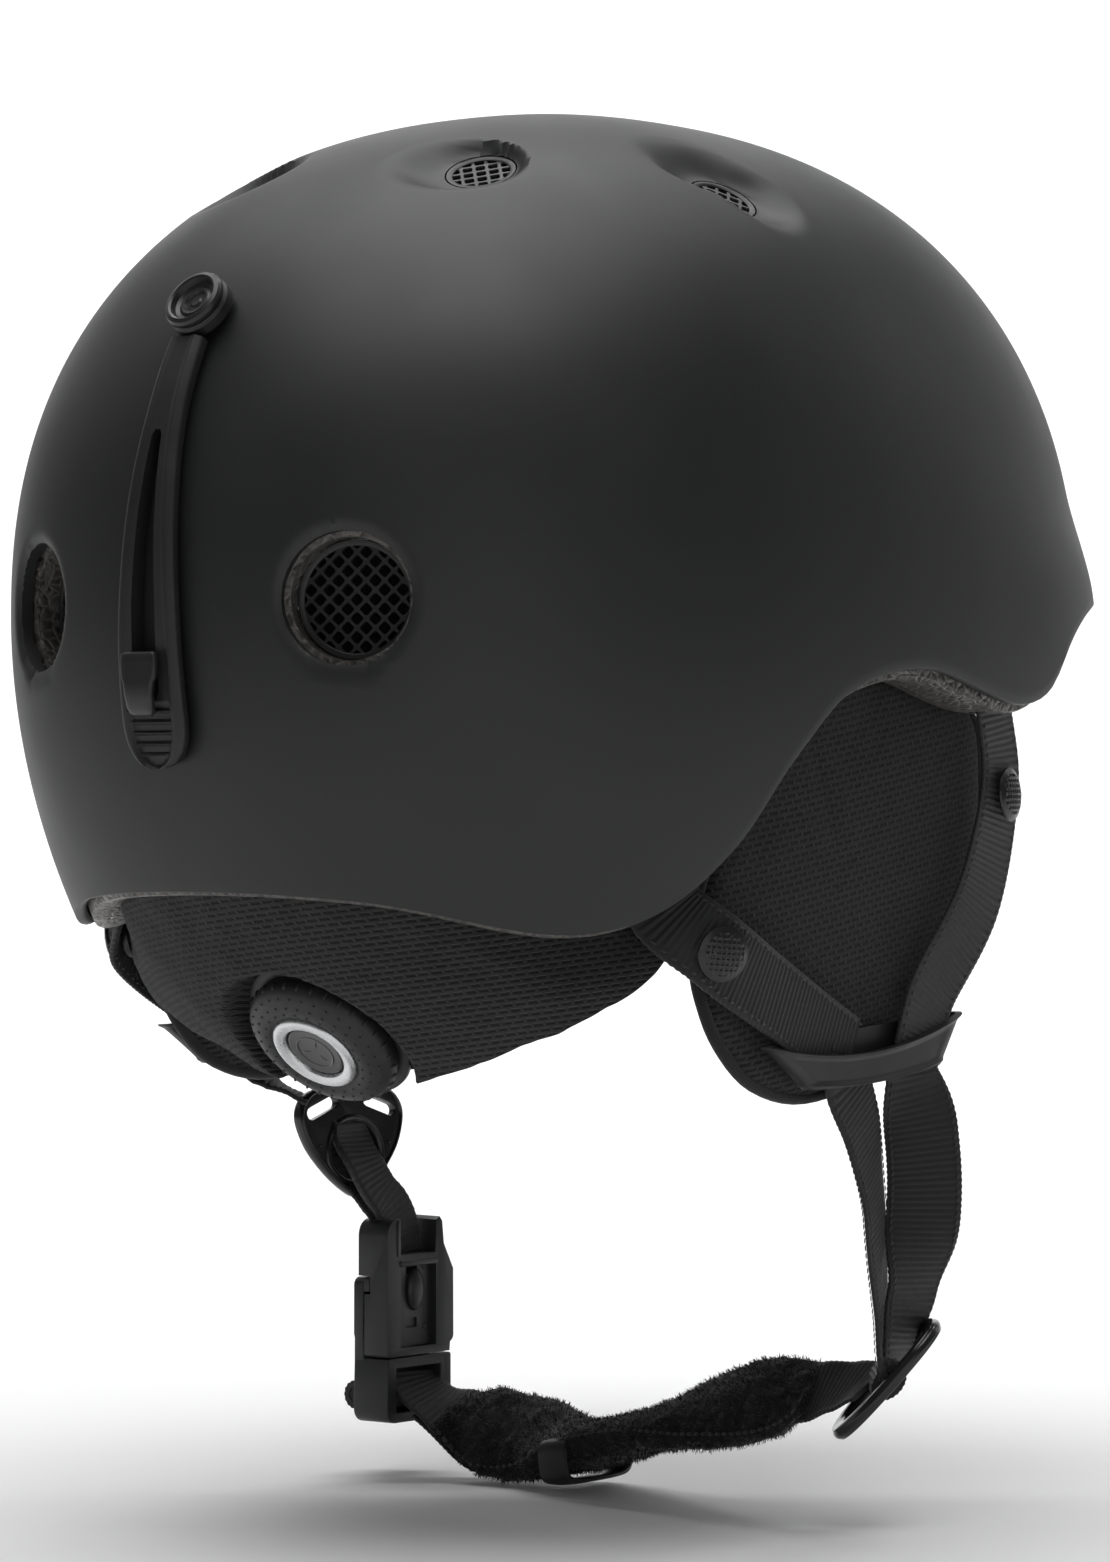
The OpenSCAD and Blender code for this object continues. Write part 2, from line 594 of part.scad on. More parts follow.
// Cap of a press snap, on the outer face of the webbing
module snap(at, dir) {
  along(at, dir) rotate_extrude()
    polygon([[0, 1.7], [6.2, 1.7], [6.3, 2.3], [5.4, 3.1], [3.5, 3.7], [0, 3.9]]);
}
front_snap_at = [96.3, -38, -42];
rear_snap_at = [89, 64, -76.5];
module snaps(side) {
  color("#101012") on_side(side) {
    snap(front_snap_at, unit([0.97, -0.2, 0.05]));
    snap(rear_snap_at, unit([0.9, 0.42, -0.15]));
  }
}
// Rubber sleeve that gathers the two webbings below the ear
keeper_x = 90.6;
// Rows of the sleeve: height, front edge, rear edge
keeper_rows = [[-105.7, -18, 32], [-100.5, -22, 39], [-94.5, -26.5, 47.5]];
keeper_wall = 1.3;
keeper_slope = 0.07;
keeper_inside = 3.4;
function keeper_pt(row, a, grow) =
  let (t = keeper_inside / 2 + grow, c = cos(a), s = sin(a), y = mix(row[1], row[2], (c + 1) / 2))
  [keeper_x + t * sign(s) * pow(abs(s), 0.5), y + grow * c, row[0] - keeper_slope * y];
module keeper(side) {
  color("#161617") on_side(side) hoop([for (j = [0 : 23]) let (a = j * 15)
    concat([for (i = [0 : 2]) keeper_pt(keeper_rows[i], a, keeper_wall)],
      [for (i = [2 : -1 : 0]) keeper_pt(keeper_rows[i], a, 0)])]);
}

// ---- right side: lower webbings and adjuster --------------------------------
lower_rear_points = [[89.6, 17, -110], [89, 12, -118], [87.5, 7.5, -132], [86, 4, -146],
  [83.5, -1, -158], [82, -5, -166]];
lower_front_points = [[91, -8, -108.2], [92.4, -10, -119], [92, -12, -132], [89.5, -14, -146],
  [87, -14, -157], [85, -13.4, -164.5]];
module right_lower_webs() {
  color("#19191b") mirror([1, 0, 0]) {
    webbing(lower_rear_points, [0, 0.98, 0.2], [0.35, 0.9, 0], 16);
    webbing(lower_front_points, [0, 0.98, -0.1], [0.35, 0.9, 0], 16);
  }
}
adj_at = [-82, -11, -177];
adj_long = unit([0.53, 0.41, -0.75]);
adj_face = unit([-0.588, -0.46, -0.667]);
adj_long2 = unit(adj_long - (adj_long * adj_face) * adj_face);
module stadium(w, h, thick) {
  r = h / 2;
  translate([-(w - h) / 2, -r, 0]) cube([w - h, h, thick]);
  for (s = [-1, 1]) translate([s * (w - h) / 2, 0, 0]) cylinder(h = thick, r = r);
}
module right_adjuster() {
  color("#1e1f22") in_frame(adj_at, adj_long2, cross(adj_face, adj_long2), adj_face)
    translate([0, 0, -1.5]) difference() {
      stadium(36, 26, 3);
      for (s = [-1, 1]) translate([s * 6.2, 0, -1]) rotate([0, 0, 90]) stadium(20, 3.6, 5);
    }
}

// ---- left side: divider ring and webbing -----------------------------------
ring_at = [76, -5, -128];
ring_turn = -8;
module at_ring() { translate(ring_at) rotate([0, 0, ring_turn]) rotate([0, 8, 0]) children(); }
module left_ring_webs() {
  color("#19191b") {
    webbing([[90, 14, -110], [87.4, 12, -113.6], [82.6, 8.5, -116.6]], [0, 1, 0.1], [0, 1, 0.3], 12);
    webbing([[91, -10, -108.4], [87.8, -12, -113], [82, -14, -116.4]], [0, 1, -0.1], [0, 1, -0.3], 12);
  }
}
module divider_ring() {
  color("#1c1d1f") at_ring() rotate([0, -90, 0]) translate([0, 0, -1.6]) difference() {
    linear_extrude(height = 3.2) polygon(closed_path([[13, 0], [12.4, 12], [7, 17], [-1, 15], [-8, 9.5],
      [-13, 3.5], [-14.4, 0], [-13, -3.5], [-8, -9.5], [-1, -15], [7, -17], [12.4, -12]], 3));
    for (s = [-1, 1]) translate([8, s * 9.4, -1]) rotate([0, 0, 90 + s * 20]) stadium(11, 3, 6);
    translate([-3, 0, -1]) cylinder(h = 6, r = 8);
    translate([-7.5, 0, -1]) cylinder(h = 6, r = 4.5);
  }
}
module left_lower_web() {
  color("#19191b") webbing([[74, -5, -129], [71.3, -5.1, -134.5], [69, -7, -140], [67.4, -9.6, -143.6],
    [66.6, -11.2, -144.6]], [0, 1, 0], [0, 1, 0], 11.5, 3);
}

// ---- buckle ----------------------------------------------------------------
buckle_at = [66, -14, -164.5];
swing_at = [-82, -11, 0];
swing_r = buckle_at[0] - swing_at[0];
buckle_angle = atan2(buckle_at[1] - swing_at[1], swing_r);
half_span = buckle_w / 2 / swing_r * 180 / PI;
// Ring sector about the chin strap's swing axis: radius is measured from the buckle's middle
module arc_block(x0, x1, z0, z1, spread = 1) {
  translate([swing_at[0], swing_at[1], 0]) rotate([0, 0, buckle_angle - half_span * spread])
    rotate_extrude(angle = 2 * half_span * spread, $fn = 96)
      translate([swing_r + x0, z0]) square([x1 - x0, z1 - z0]);
}
top_z = buckle_at[2] + buckle_h / 2;
seam_z = buckle_at[2] - buckle_h / 2;
half_t = buckle_t / 2;
catch_gap = 0.35;
module buckle_upper() {
  color("#222325") difference() {
    arc_block(-half_t, half_t, seam_z, top_z);
    arc_block(-half_t - 1, -half_t + 2.6, seam_z + 2.5, top_z - 8, 0.62);
    arc_block(-2, 2, top_z - 7, top_z + 1, 0.72);
    arc_block(half_t - 1.8, half_t + 1, seam_z - 1, seam_z + 20, 1.2);
    arc_block(half_t - 3.6, half_t + 1, seam_z + 15.5, seam_z + 20, 1.2);
    arc_block(-1.9, 1, seam_z + 3.5, seam_z + 16.5, 0.45);
  }
}
module buckle_button() {
  color("#2d2f31") translate([buckle_at[0] - half_t + 2.5, buckle_at[1], buckle_at[2] - 1])
    rotate([0, -90, 0]) translate([0, 0, 0.2]) cylinder(h = 1.6, r = 3.6);
}
module upper_magnet() {
  color("#9a9ca0") arc_block(-1.7, 0.8, seam_z + 3.7, seam_z + 16.3, 0.42);
}
low_h = 16;
module buckle_lower() {
  color("#222325") difference() {
    union() {
      arc_block(-half_t, half_t + 1.6, seam_z - catch_gap - low_h, seam_z - catch_gap);
      arc_block(half_t - 1.8 + catch_gap, half_t + 1.6, seam_z - catch_gap - 0.01, seam_z + 19.6);
      arc_block(half_t - 3.6 + catch_gap, half_t + 1.6, seam_z + 15.9, seam_z + 19.6);
    }
    arc_block(-half_t - 1, 2.2, seam_z - low_h + 3, seam_z - 5, 0.8);
    arc_block(2.4, half_t + 0.8, seam_z - 12.5, seam_z - 2.4, 0.45);
  }
}
module lower_magnet() {
  color("#9a9ca0") arc_block(2.6, half_t + 0.6, seam_z - 12.3, seam_z - 2.6, 0.42);
}

// ---- chin strap ------------------------------------------------------------
chin_points = [[62.6, -14, -188.6], [57.5, -15, -192.5], [46, -17.5, -197.5], [33, -19.5, -200.5],
  [18, -20.5, -201.5], [2, -20, -198.5], [-15, -19, -193], [-35, -17, -187.5], [-52, -14.8, -183.6],
  [-66, -13, -180.6]];
chin_path = smooth_path(chin_points, 4);
chin_last = len(chin_path) - 1;
module chin_ribbon(grow) {
  ribbon(chin_path, [for (i = [0 : chin_last]) [0, 1, 0]], web_w + 2 * grow, web_t + 2 * grow);
}
module chin_web() { color("#19191b") chin_ribbon(0); }
// Half width and half thickness of the pad along its length
pad_half_w = [[0, 9.8], [0.12, 12.5], [0.3, 14], [0.55, 12.5], [0.85, 12.5], [1, 9.8]];
pad_half_t = [[0, 2.2], [0.12, 5], [0.3, 6.4], [0.6, 5.2], [0.85, 5.4], [1, 2.4]];
pad_from = 5;
pad_to = chin_last - 2;
function pad_section(i) =
  let (u = (i - pad_from) / (pad_to - pad_from), w = curve_at(pad_half_w, u), t = curve_at(pad_half_t, u),
    run = tangent(chin_path, i), across = unit([0, 1, 0] - run[1] * run), up = cross(run, across))
  [for (j = [0 : 15]) let (c = cos(j * 22.5), q = sin(j * 22.5))
    chin_path[i] + across * w * sign(c) * pow(abs(c), 0.8) + up * t * sign(q) * pow(abs(q), 0.8)];
module chin_pad() {
  color("#131314") difference() {
    skin([for (i = [pad_from : pad_to]) pad_section(i)]);
    chin_ribbon(0.15);
  }
}
// Folded end of the webbing that stands out past the buckle
module end_loop() {
  color("#19191b") translate([76.2, -15, seam_z - 10.5]) rotate([90, 0, 0]) difference() {
    cylinder(h = web_w - 2, r = 3.6, center = true);
    cylinder(h = web_w, r = 1.6, center = true);
  }
}
module web_keeper() {
  color("#151516") translate([10, -20, -200.4]) rotate([0, 12, 0]) difference() {
    cube([9, 31, 16], center = true);
    cube([10, 28.6, 13.6], center = true);
  }
}

outer_shell();
foam_liner();
rear_screen(1);  // rear_screen_left
rear_screen(-1);  // rear_screen_right
crown_screen(1, crown_back_at, crown_back_dir);  // crown_screen_back_left
crown_screen(-1, crown_back_at, crown_back_dir);  // crown_screen_back_right
crown_screen(1, crown_side_at, crown_side_dir);  // crown_screen_side_left
crown_screen(-1, crown_side_at, crown_side_dir);  // crown_screen_side_right
brow_pad();
crown_pad();
side_pad_left();
side_pad_right();
rear_pad();
ear_pad(1);  // ear_pad_left
ear_pad(-1);  // ear_pad_right
nape_pad();
nape_cushion();
cradle_cover();
cradle_base();
dial_housing();
dial_core();
dial_grip();
dial_ring();
dial_cap();
ratchet_spring();
rack_left();
rack_right();
band_sleeve(1);  // band_sleeve_left
band_sleeve(-1);  // band_sleeve_right
clip_rivet();
clip_hook();
strap_eyelet();
goggle_strap();
strap_anchors();
front_web(1);  // front_web_left
front_web(-1);  // front_web_right
rear_web(1);  // rear_web_left
rear_web(-1);  // rear_web_right
snaps(1);  // snaps_left
snaps(-1);  // snaps_right
keeper(1);  // keeper_left
keeper(-1);  // keeper_right
right_lower_webs();
right_adjuster();
left_ring_webs();
divider_ring();
left_lower_web();
buckle_upper();
buckle_button();
upper_magnet();
buckle_lower();
lower_magnet();
chin_web();
chin_pad();
end_loop();
web_keeper();
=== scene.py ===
# Visual model of a snow-style sports helmet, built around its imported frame.
# Shapes are worked out in millimetres in the CAD model's frame (front -Y, up +Z, wearer's right -X, origin at
# the middle of the shell's widest level), and become metres where a mesh is made.
import contextlib
import math

import bmesh
import bpy
import numpy as np
from mathutils import Matrix, Vector, noise


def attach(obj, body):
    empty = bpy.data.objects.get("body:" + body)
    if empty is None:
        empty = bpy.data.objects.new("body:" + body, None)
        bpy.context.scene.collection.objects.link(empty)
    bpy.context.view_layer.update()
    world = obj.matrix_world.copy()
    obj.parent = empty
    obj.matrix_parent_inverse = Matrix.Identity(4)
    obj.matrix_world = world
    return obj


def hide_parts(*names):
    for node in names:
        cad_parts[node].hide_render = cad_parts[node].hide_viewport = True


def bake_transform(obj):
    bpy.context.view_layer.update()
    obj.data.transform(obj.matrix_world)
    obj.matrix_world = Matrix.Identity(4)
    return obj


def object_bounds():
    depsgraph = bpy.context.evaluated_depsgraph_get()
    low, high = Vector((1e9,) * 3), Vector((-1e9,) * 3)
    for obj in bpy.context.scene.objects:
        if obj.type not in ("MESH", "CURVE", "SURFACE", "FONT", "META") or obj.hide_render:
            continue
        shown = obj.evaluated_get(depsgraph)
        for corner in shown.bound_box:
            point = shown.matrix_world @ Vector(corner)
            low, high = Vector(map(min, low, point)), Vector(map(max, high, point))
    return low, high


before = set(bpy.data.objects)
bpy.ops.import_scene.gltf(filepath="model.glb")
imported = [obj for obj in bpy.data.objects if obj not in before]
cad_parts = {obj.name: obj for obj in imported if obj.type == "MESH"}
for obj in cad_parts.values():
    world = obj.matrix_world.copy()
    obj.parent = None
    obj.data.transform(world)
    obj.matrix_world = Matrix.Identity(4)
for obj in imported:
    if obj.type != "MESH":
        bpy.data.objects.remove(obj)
cad_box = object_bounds()

MM = 0.001
LEFT, RIGHT = 1, -1
SIDE_NAMES = {LEFT: "left", RIGHT: "right"}


# ---- camera, floor and light --------------------------------------------------
def make_camera(azimuth=38, elevation=-2, distance=1.2):
    """Behind the wearer's right side, a little below the widest level of the shell."""
    a, e = math.radians(azimuth), math.radians(elevation)
    away = Vector((-math.sin(a) * math.cos(e), math.cos(a) * math.cos(e), math.sin(e)))
    data = bpy.data.cameras.new("camera")
    data.lens = 114.8
    data.sensor_width = 36
    data.shift_x = -0.0147
    data.shift_y = -0.103
    camera = new_object("camera", data)
    camera.location = away * distance
    camera.rotation_euler = (-away).to_track_quat("-Z", "Y").to_euler()
    bpy.context.scene.camera = camera
    return away


def area_light(name, place, size, power, tint=(1, 1, 1), target=Vector((0, 0, -0.03))):
    data = bpy.data.lights.new(name, "AREA")
    data.shape = "RECTANGLE"
    data.size, data.size_y = size
    data.energy = power
    data.color = tint
    light = new_object(name, data)
    light.location = place
    light.rotation_euler = (target - Vector(place)).to_track_quat("-Z", "Y").to_euler()


def make_studio(away):
    """Pale floor and backdrop with soft light from above, a weak strip behind each side, a low fill and a wash
    on the backdrop."""
    across = Vector((away.y, -away.x, 0)).normalized()  # towards the picture's left
    up = Vector((0, 0, 1))
    area_light("key", 0.25 * away + 0.05 * across + 1.5 * up, (1.5, 1.2), 20)
    area_light("rim_left", -0.7 * away + 1.2 * across + 0.9 * up, (0.5, 0.9), 0.7, (1, 0.96, 0.95))
    area_light("rim_right", -0.75 * away - 1.25 * across + 0.5 * up, (0.35, 0.9), 1)
    area_light("low_fill", 1.3 * away - 0.3 * across + 0.1 * up, (1.0, 0.5), 1.0)
    area_light("backdrop_wash", -1.5 * away + 2.4 * up, (3.0, 0.6), 110, target=-3.6 * away + 0.1 * up)

    world = bpy.data.worlds.new("studio")
    world.use_nodes = True
    background = world.node_tree.nodes["Background"].inputs
    background["Color"].default_value = (0.93, 0.94, 0.95, 1)
    background["Strength"].default_value = 0.12
    bpy.context.scene.world = world
    bpy.context.scene.view_settings.view_transform = "Standard"

    floor_z = cad_box[0].z - 0.002
    reach, bend, height, half_width = 3.0, 0.7, 2.6, 4.5
    arc = [math.radians(a) for a in range(0, 91, 10)]
    run = [(reach, floor_z)]
    run += [(-reach - bend * math.sin(a), floor_z + bend * (1 - math.cos(a))) for a in arc]
    run += [(-reach - bend, height)]
    forward = away.xy.normalized().to_3d()
    points = [s * half_width * across + along * forward + z * up for along, z in run for s in (-1, 1)]
    mesh = bpy.data.meshes.new("backdrop")
    mesh.from_pydata(points, [], grid_faces(len(run), 2).tolist())
    floor = new_object("backdrop", mesh)
    for poly in mesh.polygons:
        poly.use_smooth = True
    mesh.materials.append(floor_paint())


# ---- mesh helpers ---------------------------------------------------------------
def grid_faces(rows, cols, wrap_rows=False, wrap_cols=False, start=0):
    """Quads over a grid of points stored row after row."""
    i, j = np.meshgrid(np.arange(rows - (not wrap_rows)), np.arange(cols - (not wrap_cols)), indexing="ij")
    i2, j2 = (i + 1) % rows, (j + 1) % cols
    quads = np.stack([i * cols + j, i2 * cols + j, i2 * cols + j2, i * cols + j2], -1)
    return quads.reshape(-1, 4) + start


def new_object(name, data):
    piece = bpy.data.objects.new(name, data)
    bpy.context.collection.objects.link(piece)
    return piece


@contextlib.contextmanager
def editing(mesh):
    """The mesh as a BMesh, written back at the end."""
    work = bmesh.new()
    work.from_mesh(mesh)
    yield work
    work.to_mesh(mesh)
    work.free()


def new_mesh(name, points, faces):
    mesh = bpy.data.meshes.new(name)
    mesh.from_pydata((np.asarray(points, float).reshape(-1, 3) * MM).tolist(), [], [list(map(int, f)) for f in faces])
    with editing(mesh) as work:
        bmesh.ops.recalc_face_normals(work, faces=work.faces)
    return new_object(name, mesh)


def loft(name, rings, caps=True, closed=False):
    """Skin over rings of equal length; closed joins the last ring to the first."""
    rings = np.asarray(rings, float)
    rows, cols = rings.shape[:2]
    faces = grid_faces(rows, cols, wrap_rows=closed, wrap_cols=True).tolist()
    if caps and not closed:
        faces += [list(range(cols)), list(range((rows - 1) * cols, rows * cols))]
    return new_mesh(name, rings, faces)


def revolve(name, profile, steps=96, place=None, grow=None):
    """Closed profile of (radius, height) points turned about the local z axis. grow(radius, height, angle)
    gives an extra (radius, height) where the turned surface isn't plain."""
    profile = np.asarray(profile, float)
    a = np.linspace(0, 2 * math.pi, steps, endpoint=False)[:, None]
    r, z = (np.broadcast_to(column, (steps, len(profile))) for column in profile.T)
    if grow:
        dr, dz = grow(r, z, a)
        r, z = r + dr, z + dz
    rings = np.stack([r * np.cos(a), r * np.sin(a), z + 0 * a], -1)
    piece = loft(name, rings, closed=True)
    weld(piece)
    if place is not None:
        piece.data.transform(place)
    return piece


def weld(piece, distance=1e-6):
    with editing(piece.data) as work:
        bmesh.ops.remove_doubles(work, verts=work.verts, dist=distance)
        bmesh.ops.recalc_face_normals(work, faces=work.faces)


def coords(piece):
    co = np.empty(len(piece.data.vertices) * 3)
    piece.data.vertices.foreach_get("co", co)
    return co.reshape(-1, 3) / MM


def set_coords(piece, points):
    piece.data.vertices.foreach_set("co", (np.asarray(points) * MM).ravel())
    piece.data.update()


def apply_modifiers(piece):
    made = piece.evaluated_get(bpy.context.evaluated_depsgraph_get())
    mesh = bpy.data.meshes.new_from_object(made)
    piece.modifiers.clear()
    piece.data = mesh


def modify(piece, kind, **values):
    step = piece.modifiers.new(kind.lower(), kind)
    for key, value in values.items():
        setattr(step, key, value)


def cut(piece, tools):
    """Take the tools' shapes out of the piece, and remove the tools."""
    for tool in tools:
        modify(piece, "BOOLEAN", operation="DIFFERENCE", solver="MANIFOLD", object=tool)
    apply_modifiers(piece)
    for tool in tools:
        bpy.data.objects.remove(tool)


def bevel(piece, width, segments=3, angle=35):
    modify(piece, "BEVEL", width=width * MM, segments=segments, limit_method="ANGLE", angle_limit=math.radians(angle),
           harden_normals=False)
    apply_modifiers(piece)


def subdivide(piece):
    modify(piece, "SUBSURF", levels=1, render_levels=1)
    apply_modifiers(piece)


def join(name, pieces):
    """One object from several."""
    work = bmesh.new()
    for p in pieces:
        work.from_mesh(p.data)
    for p in pieces:
        bpy.data.objects.remove(p)
    mesh = bpy.data.meshes.new(name)
    work.to_mesh(mesh)
    work.free()
    return new_object(name, mesh)


def shade(piece, angle):
    """Smooth shading with edges sharper than angle left crisp."""
    for poly in piece.data.polygons:
        poly.use_smooth = True
    with editing(piece.data) as work:
        for edge in work.edges:
            edge.smooth = edge.calc_face_angle(0) < math.radians(angle)


def settle(piece, material, body="root", nodes=(), angle=40):
    """Finish, shading, body and the CAD nodes that the piece stands for."""
    piece.data.materials.clear()
    piece.data.materials.append(material)
    shade(piece, angle)
    if body:
        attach(piece, body)
    if nodes:
        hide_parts(*nodes)
    return piece


def mirror_x(piece, side):
    """The same mesh for the wearer's right when side is RIGHT."""
    if side == RIGHT:
        piece.data.transform(Matrix.Diagonal((-1, 1, 1, 1)))
        piece.data.flip_normals()
    return piece


def local_frame(at, direction):
    """Matrix of part.scad's along(): z points along direction, x is level."""
    z = Vector(direction).normalized()
    x = Vector((0, 1, 0)).cross(z).normalized()
    y = z.cross(x)
    m = Matrix((x, y, z)).transposed().to_4x4()
    m.translation = Vector(at) * MM
    return m


def in_frame(at, ax, ay, az):
    """Matrix of the frame at a point, with its three axes given."""
    m = Matrix((Vector(ax), Vector(ay), Vector(az))).transposed().to_4x4()
    m.translation = Vector(at) * MM
    return m


def superellipse(angle, power):
    """cos and sin pushed towards a square as power falls below 1."""
    c, s = np.cos(angle), np.sin(angle)
    return np.sign(c) * np.abs(c) ** power, np.sign(s) * np.abs(s) ** power


def disc_cutter(at, direction, radius, low, high, steps=96):
    profile = [(0.001, low), (radius, low), (radius, high), (0.001, high)]
    return revolve("cutter", profile, steps, local_frame(at, direction))


def ease(t):
    t = np.clip(t, 0, 1)
    return t * t * (3 - 2 * t)


def unit(v):
    v = np.asarray(v, float)
    return v / np.linalg.norm(v, axis=-1, keepdims=True)


def curve_at(points, x):
    """Smooth curve through (x, value) points, flat at both ends, as in part.scad."""
    xs, vs = np.asarray(points, float).T
    slopes = np.zeros(len(xs))
    slopes[1:-1] = (vs[2:] - vs[:-2]) / (xs[2:] - xs[:-2])
    k = np.clip(np.searchsorted(xs, x, side="right") - 1, 0, len(xs) - 2)
    h = xs[k + 1] - xs[k]
    u = np.clip((x - xs[k]) / h, 0, 1)
    return ((1 + 2 * u) * (1 - u) ** 2 * vs[k] + u * (1 - u) ** 2 * h * slopes[k]
            + u * u * (3 - 2 * u) * vs[k + 1] + u * u * (u - 1) * h * slopes[k + 1])


def smooth_path(points, steps, closed=False):
    """Points of a smooth curve through the given ones, steps to a span."""
    p = np.asarray(points, float)
    n = len(p)
    out = []
    for k in range(n if closed else n - 1):
        near = [(k + d) % n for d in (-1, 0, 1, 2)] if closed else [max(k - 1, 0), k, k + 1, min(k + 2, n - 1)]
        a, b, c, d = p[near]
        for u in np.arange(steps) / steps:
            out.append(0.5 * (2 * b + (c - a) * u + (2 * a - 5 * b + 4 * c - d) * u**2
                              + (3 * b - a - 3 * c + d) * u**3))
    if not closed:
        out.append(p[-1])
    return np.array(out)


def tangents(path):
    t = np.empty_like(path)
    t[1:-1] = path[2:] - path[:-2]
    t[0], t[-1] = path[1] - path[0], path[-1] - path[-2]
    return unit(t)


# ---- materials --------------------------------------------------------------------
class Nodes:
    """Small builder for a material's nodes."""

    def __init__(self, name, colour, roughness, **values):
        self.material = bpy.data.materials.new(name)
        self.material.use_nodes = True
        self.tree = self.material.node_tree
        self.shader = self.tree.nodes["Principled BSDF"]
        self.shader.inputs["Base Color"].default_value = (*colour, 1)
        self.shader.inputs["Roughness"].default_value = roughness
        for key, value in values.items():
            self.shader.inputs[key.replace("_", " ")].default_value = value

    def add(self, kind, **values):
        node = self.tree.nodes.new("ShaderNode" + kind)
        for key, value in values.items():
            if hasattr(node, key):
                setattr(node, key, value)
            else:
                self.put(node.inputs[key.replace("_", " ")], value)
        return node

    def put(self, socket, value):
        if isinstance(value, bpy.types.NodeSocket):
            self.tree.links.new(value, socket)
        else:
            socket.default_value = value

    def maths(self, operation, *values):
        node = self.add("Math", operation=operation)
        for socket, value in zip(node.inputs, values):
            self.put(socket, value)
        return node.outputs[0]

    def place(self, scale=1 / MM):
        """Object coordinates, in millimetres."""
        where = self.add("TexCoord").outputs["Object"]
        return self.add("VectorMath", operation="SCALE", Vector=where, Scale=scale).outputs[0]

    def noise(self, vector, scale, detail=3, roughness=0.5):
        return self.add("TexNoise", Vector=vector, Scale=scale, Detail=detail, Roughness=roughness).outputs["Fac"]

    def ramp(self, value, low, high, to_low, to_high):
        node = self.add("MapRange", Value=value)
        for socket, number in zip(("From Min", "From Max", "To Min", "To Max"), (low, high, to_low, to_high)):
            node.inputs[socket].default_value = number
        return node.outputs[0]

    def mix(self, factor, first, second):
        node = self.add("Mix", data_type="RGBA")
        self.put(node.inputs[0], factor)
        self.put(node.inputs[6], (*first, 1))
        self.put(node.inputs[7], (*second, 1))
        return node.outputs[2]

    def bump(self, height, distance, strength=1.0, normal=None):
        node = self.add("Bump", Height=height, Distance=distance * MM, Strength=strength)
        if normal:
            self.put(node.inputs["Normal"], normal)
        return node.outputs[0]

    def finish(self, colour=None, roughness=None, normal=None):
        for name, value in (("Base Color", colour), ("Roughness", roughness), ("Normal", normal)):
            if value is not None:
                self.put(self.shader.inputs[name], value)
        return self.material


def floor_paint():
    n = Nodes("floor_paint", (0.9, 0.9, 0.9), 0.85)
    grain = n.noise(n.place(1), 6, 2)
    return n.finish(colour=n.mix(grain, (0.90, 0.90, 0.90), (0.94, 0.94, 0.94)))


def matte_shell():
    """Soft matte black lacquer with a very fine orange peel."""
    n = Nodes("matte_shell", (0.012, 0.0125, 0.013), 0.5, Specular_IOR_Level=0.5)
    p = n.place()
    peel = n.noise(p, 1.6, 2)
    cloud = n.noise(p, 0.03, 3)
    return n.finish(colour=n.mix(cloud, (0.0105, 0.011, 0.0115), (0.0145, 0.015, 0.0155)),
                    roughness=n.ramp(cloud, 0.3, 0.7, 0.46, 0.53), normal=n.bump(peel, 0.012, 0.35))


def bead_foam(name="bead_foam", dark=(0.012, 0.0115, 0.011), light=(0.13, 0.12, 0.108)):
    """Fused polystyrene beads: cells with pale edges and a sheen of their own."""
    n = Nodes(name, dark, 0.45, Specular_IOR_Level=0.6)
    p = n.place()
    bead = n.add("TexVoronoi", feature="DISTANCE_TO_EDGE", Vector=p, Scale=0.42)
    cell = n.add("TexVoronoi", feature="F1", Vector=p, Scale=0.42)
    edge = n.ramp(bead.outputs["Distance"], 0.0, 0.22, 0.9, 0.0)
    tone = n.maths("MULTIPLY", n.maths("ADD", edge, n.noise(p, 0.9, 3)), 0.62)
    grain = n.maths("ADD", n.maths("MULTIPLY", n.maths("MINIMUM", bead.outputs["Distance"], 0.3), 3.0),
                    n.maths("MULTIPLY", cell.outputs["Color"], 0.35))
    return n.finish(colour=n.mix(tone, dark, light), roughness=n.ramp(cell.outputs["Color"], 0, 1, 0.3, 0.6),
                    normal=n.bump(grain, 0.35, 0.8))


def moulded(name, colour, roughness, grain=0.02, scale=2.2, edge_highlight=0.35, **values):
    """Moulded plastic, rubber or painted metal: fine grain, faint clouding and a painted highlight that makes convex
    edges a little lighter.
    """
    n = Nodes(name, colour, roughness, **values)
    p = n.place()
    fine, cloud = n.noise(p, scale, 3), n.noise(p, 0.12, 3)
    # painted highlight: convex edges (high pointiness) are mixed towards a lighter colour
    edge = n.ramp(n.add("NewGeometry").outputs["Pointiness"], 0.51, 0.6, 0.0, edge_highlight)
    tone = n.maths("ADD", n.maths("MULTIPLY", cloud, 0.5), edge)
    light = tuple(c * 1.9 + 0.004 for c in colour)
    return n.finish(colour=n.mix(tone, colour, light),
                    roughness=n.ramp(cloud, 0.3, 0.7, roughness - 0.04, roughness + 0.06),
                    normal=n.bump(fine, grain, 0.5))


def brushed_metal(name, colour, roughness=0.22, scale=9.0):
    n = Nodes(name, colour, roughness, Metallic=1.0)
    p = n.place()
    turned = n.add("TexWave", wave_type="RINGS", Vector=p, Scale=scale, Distortion=1.5, Detail=2)
    cloud = n.noise(p, 0.5, 3)
    dim = tuple(c * 0.82 for c in colour)
    return n.finish(colour=n.mix(cloud, dim, colour), roughness=n.ramp(cloud, 0.3, 0.7, roughness, roughness + 0.1),
                    normal=n.bump(turned.outputs["Fac"], 0.004, 0.3))


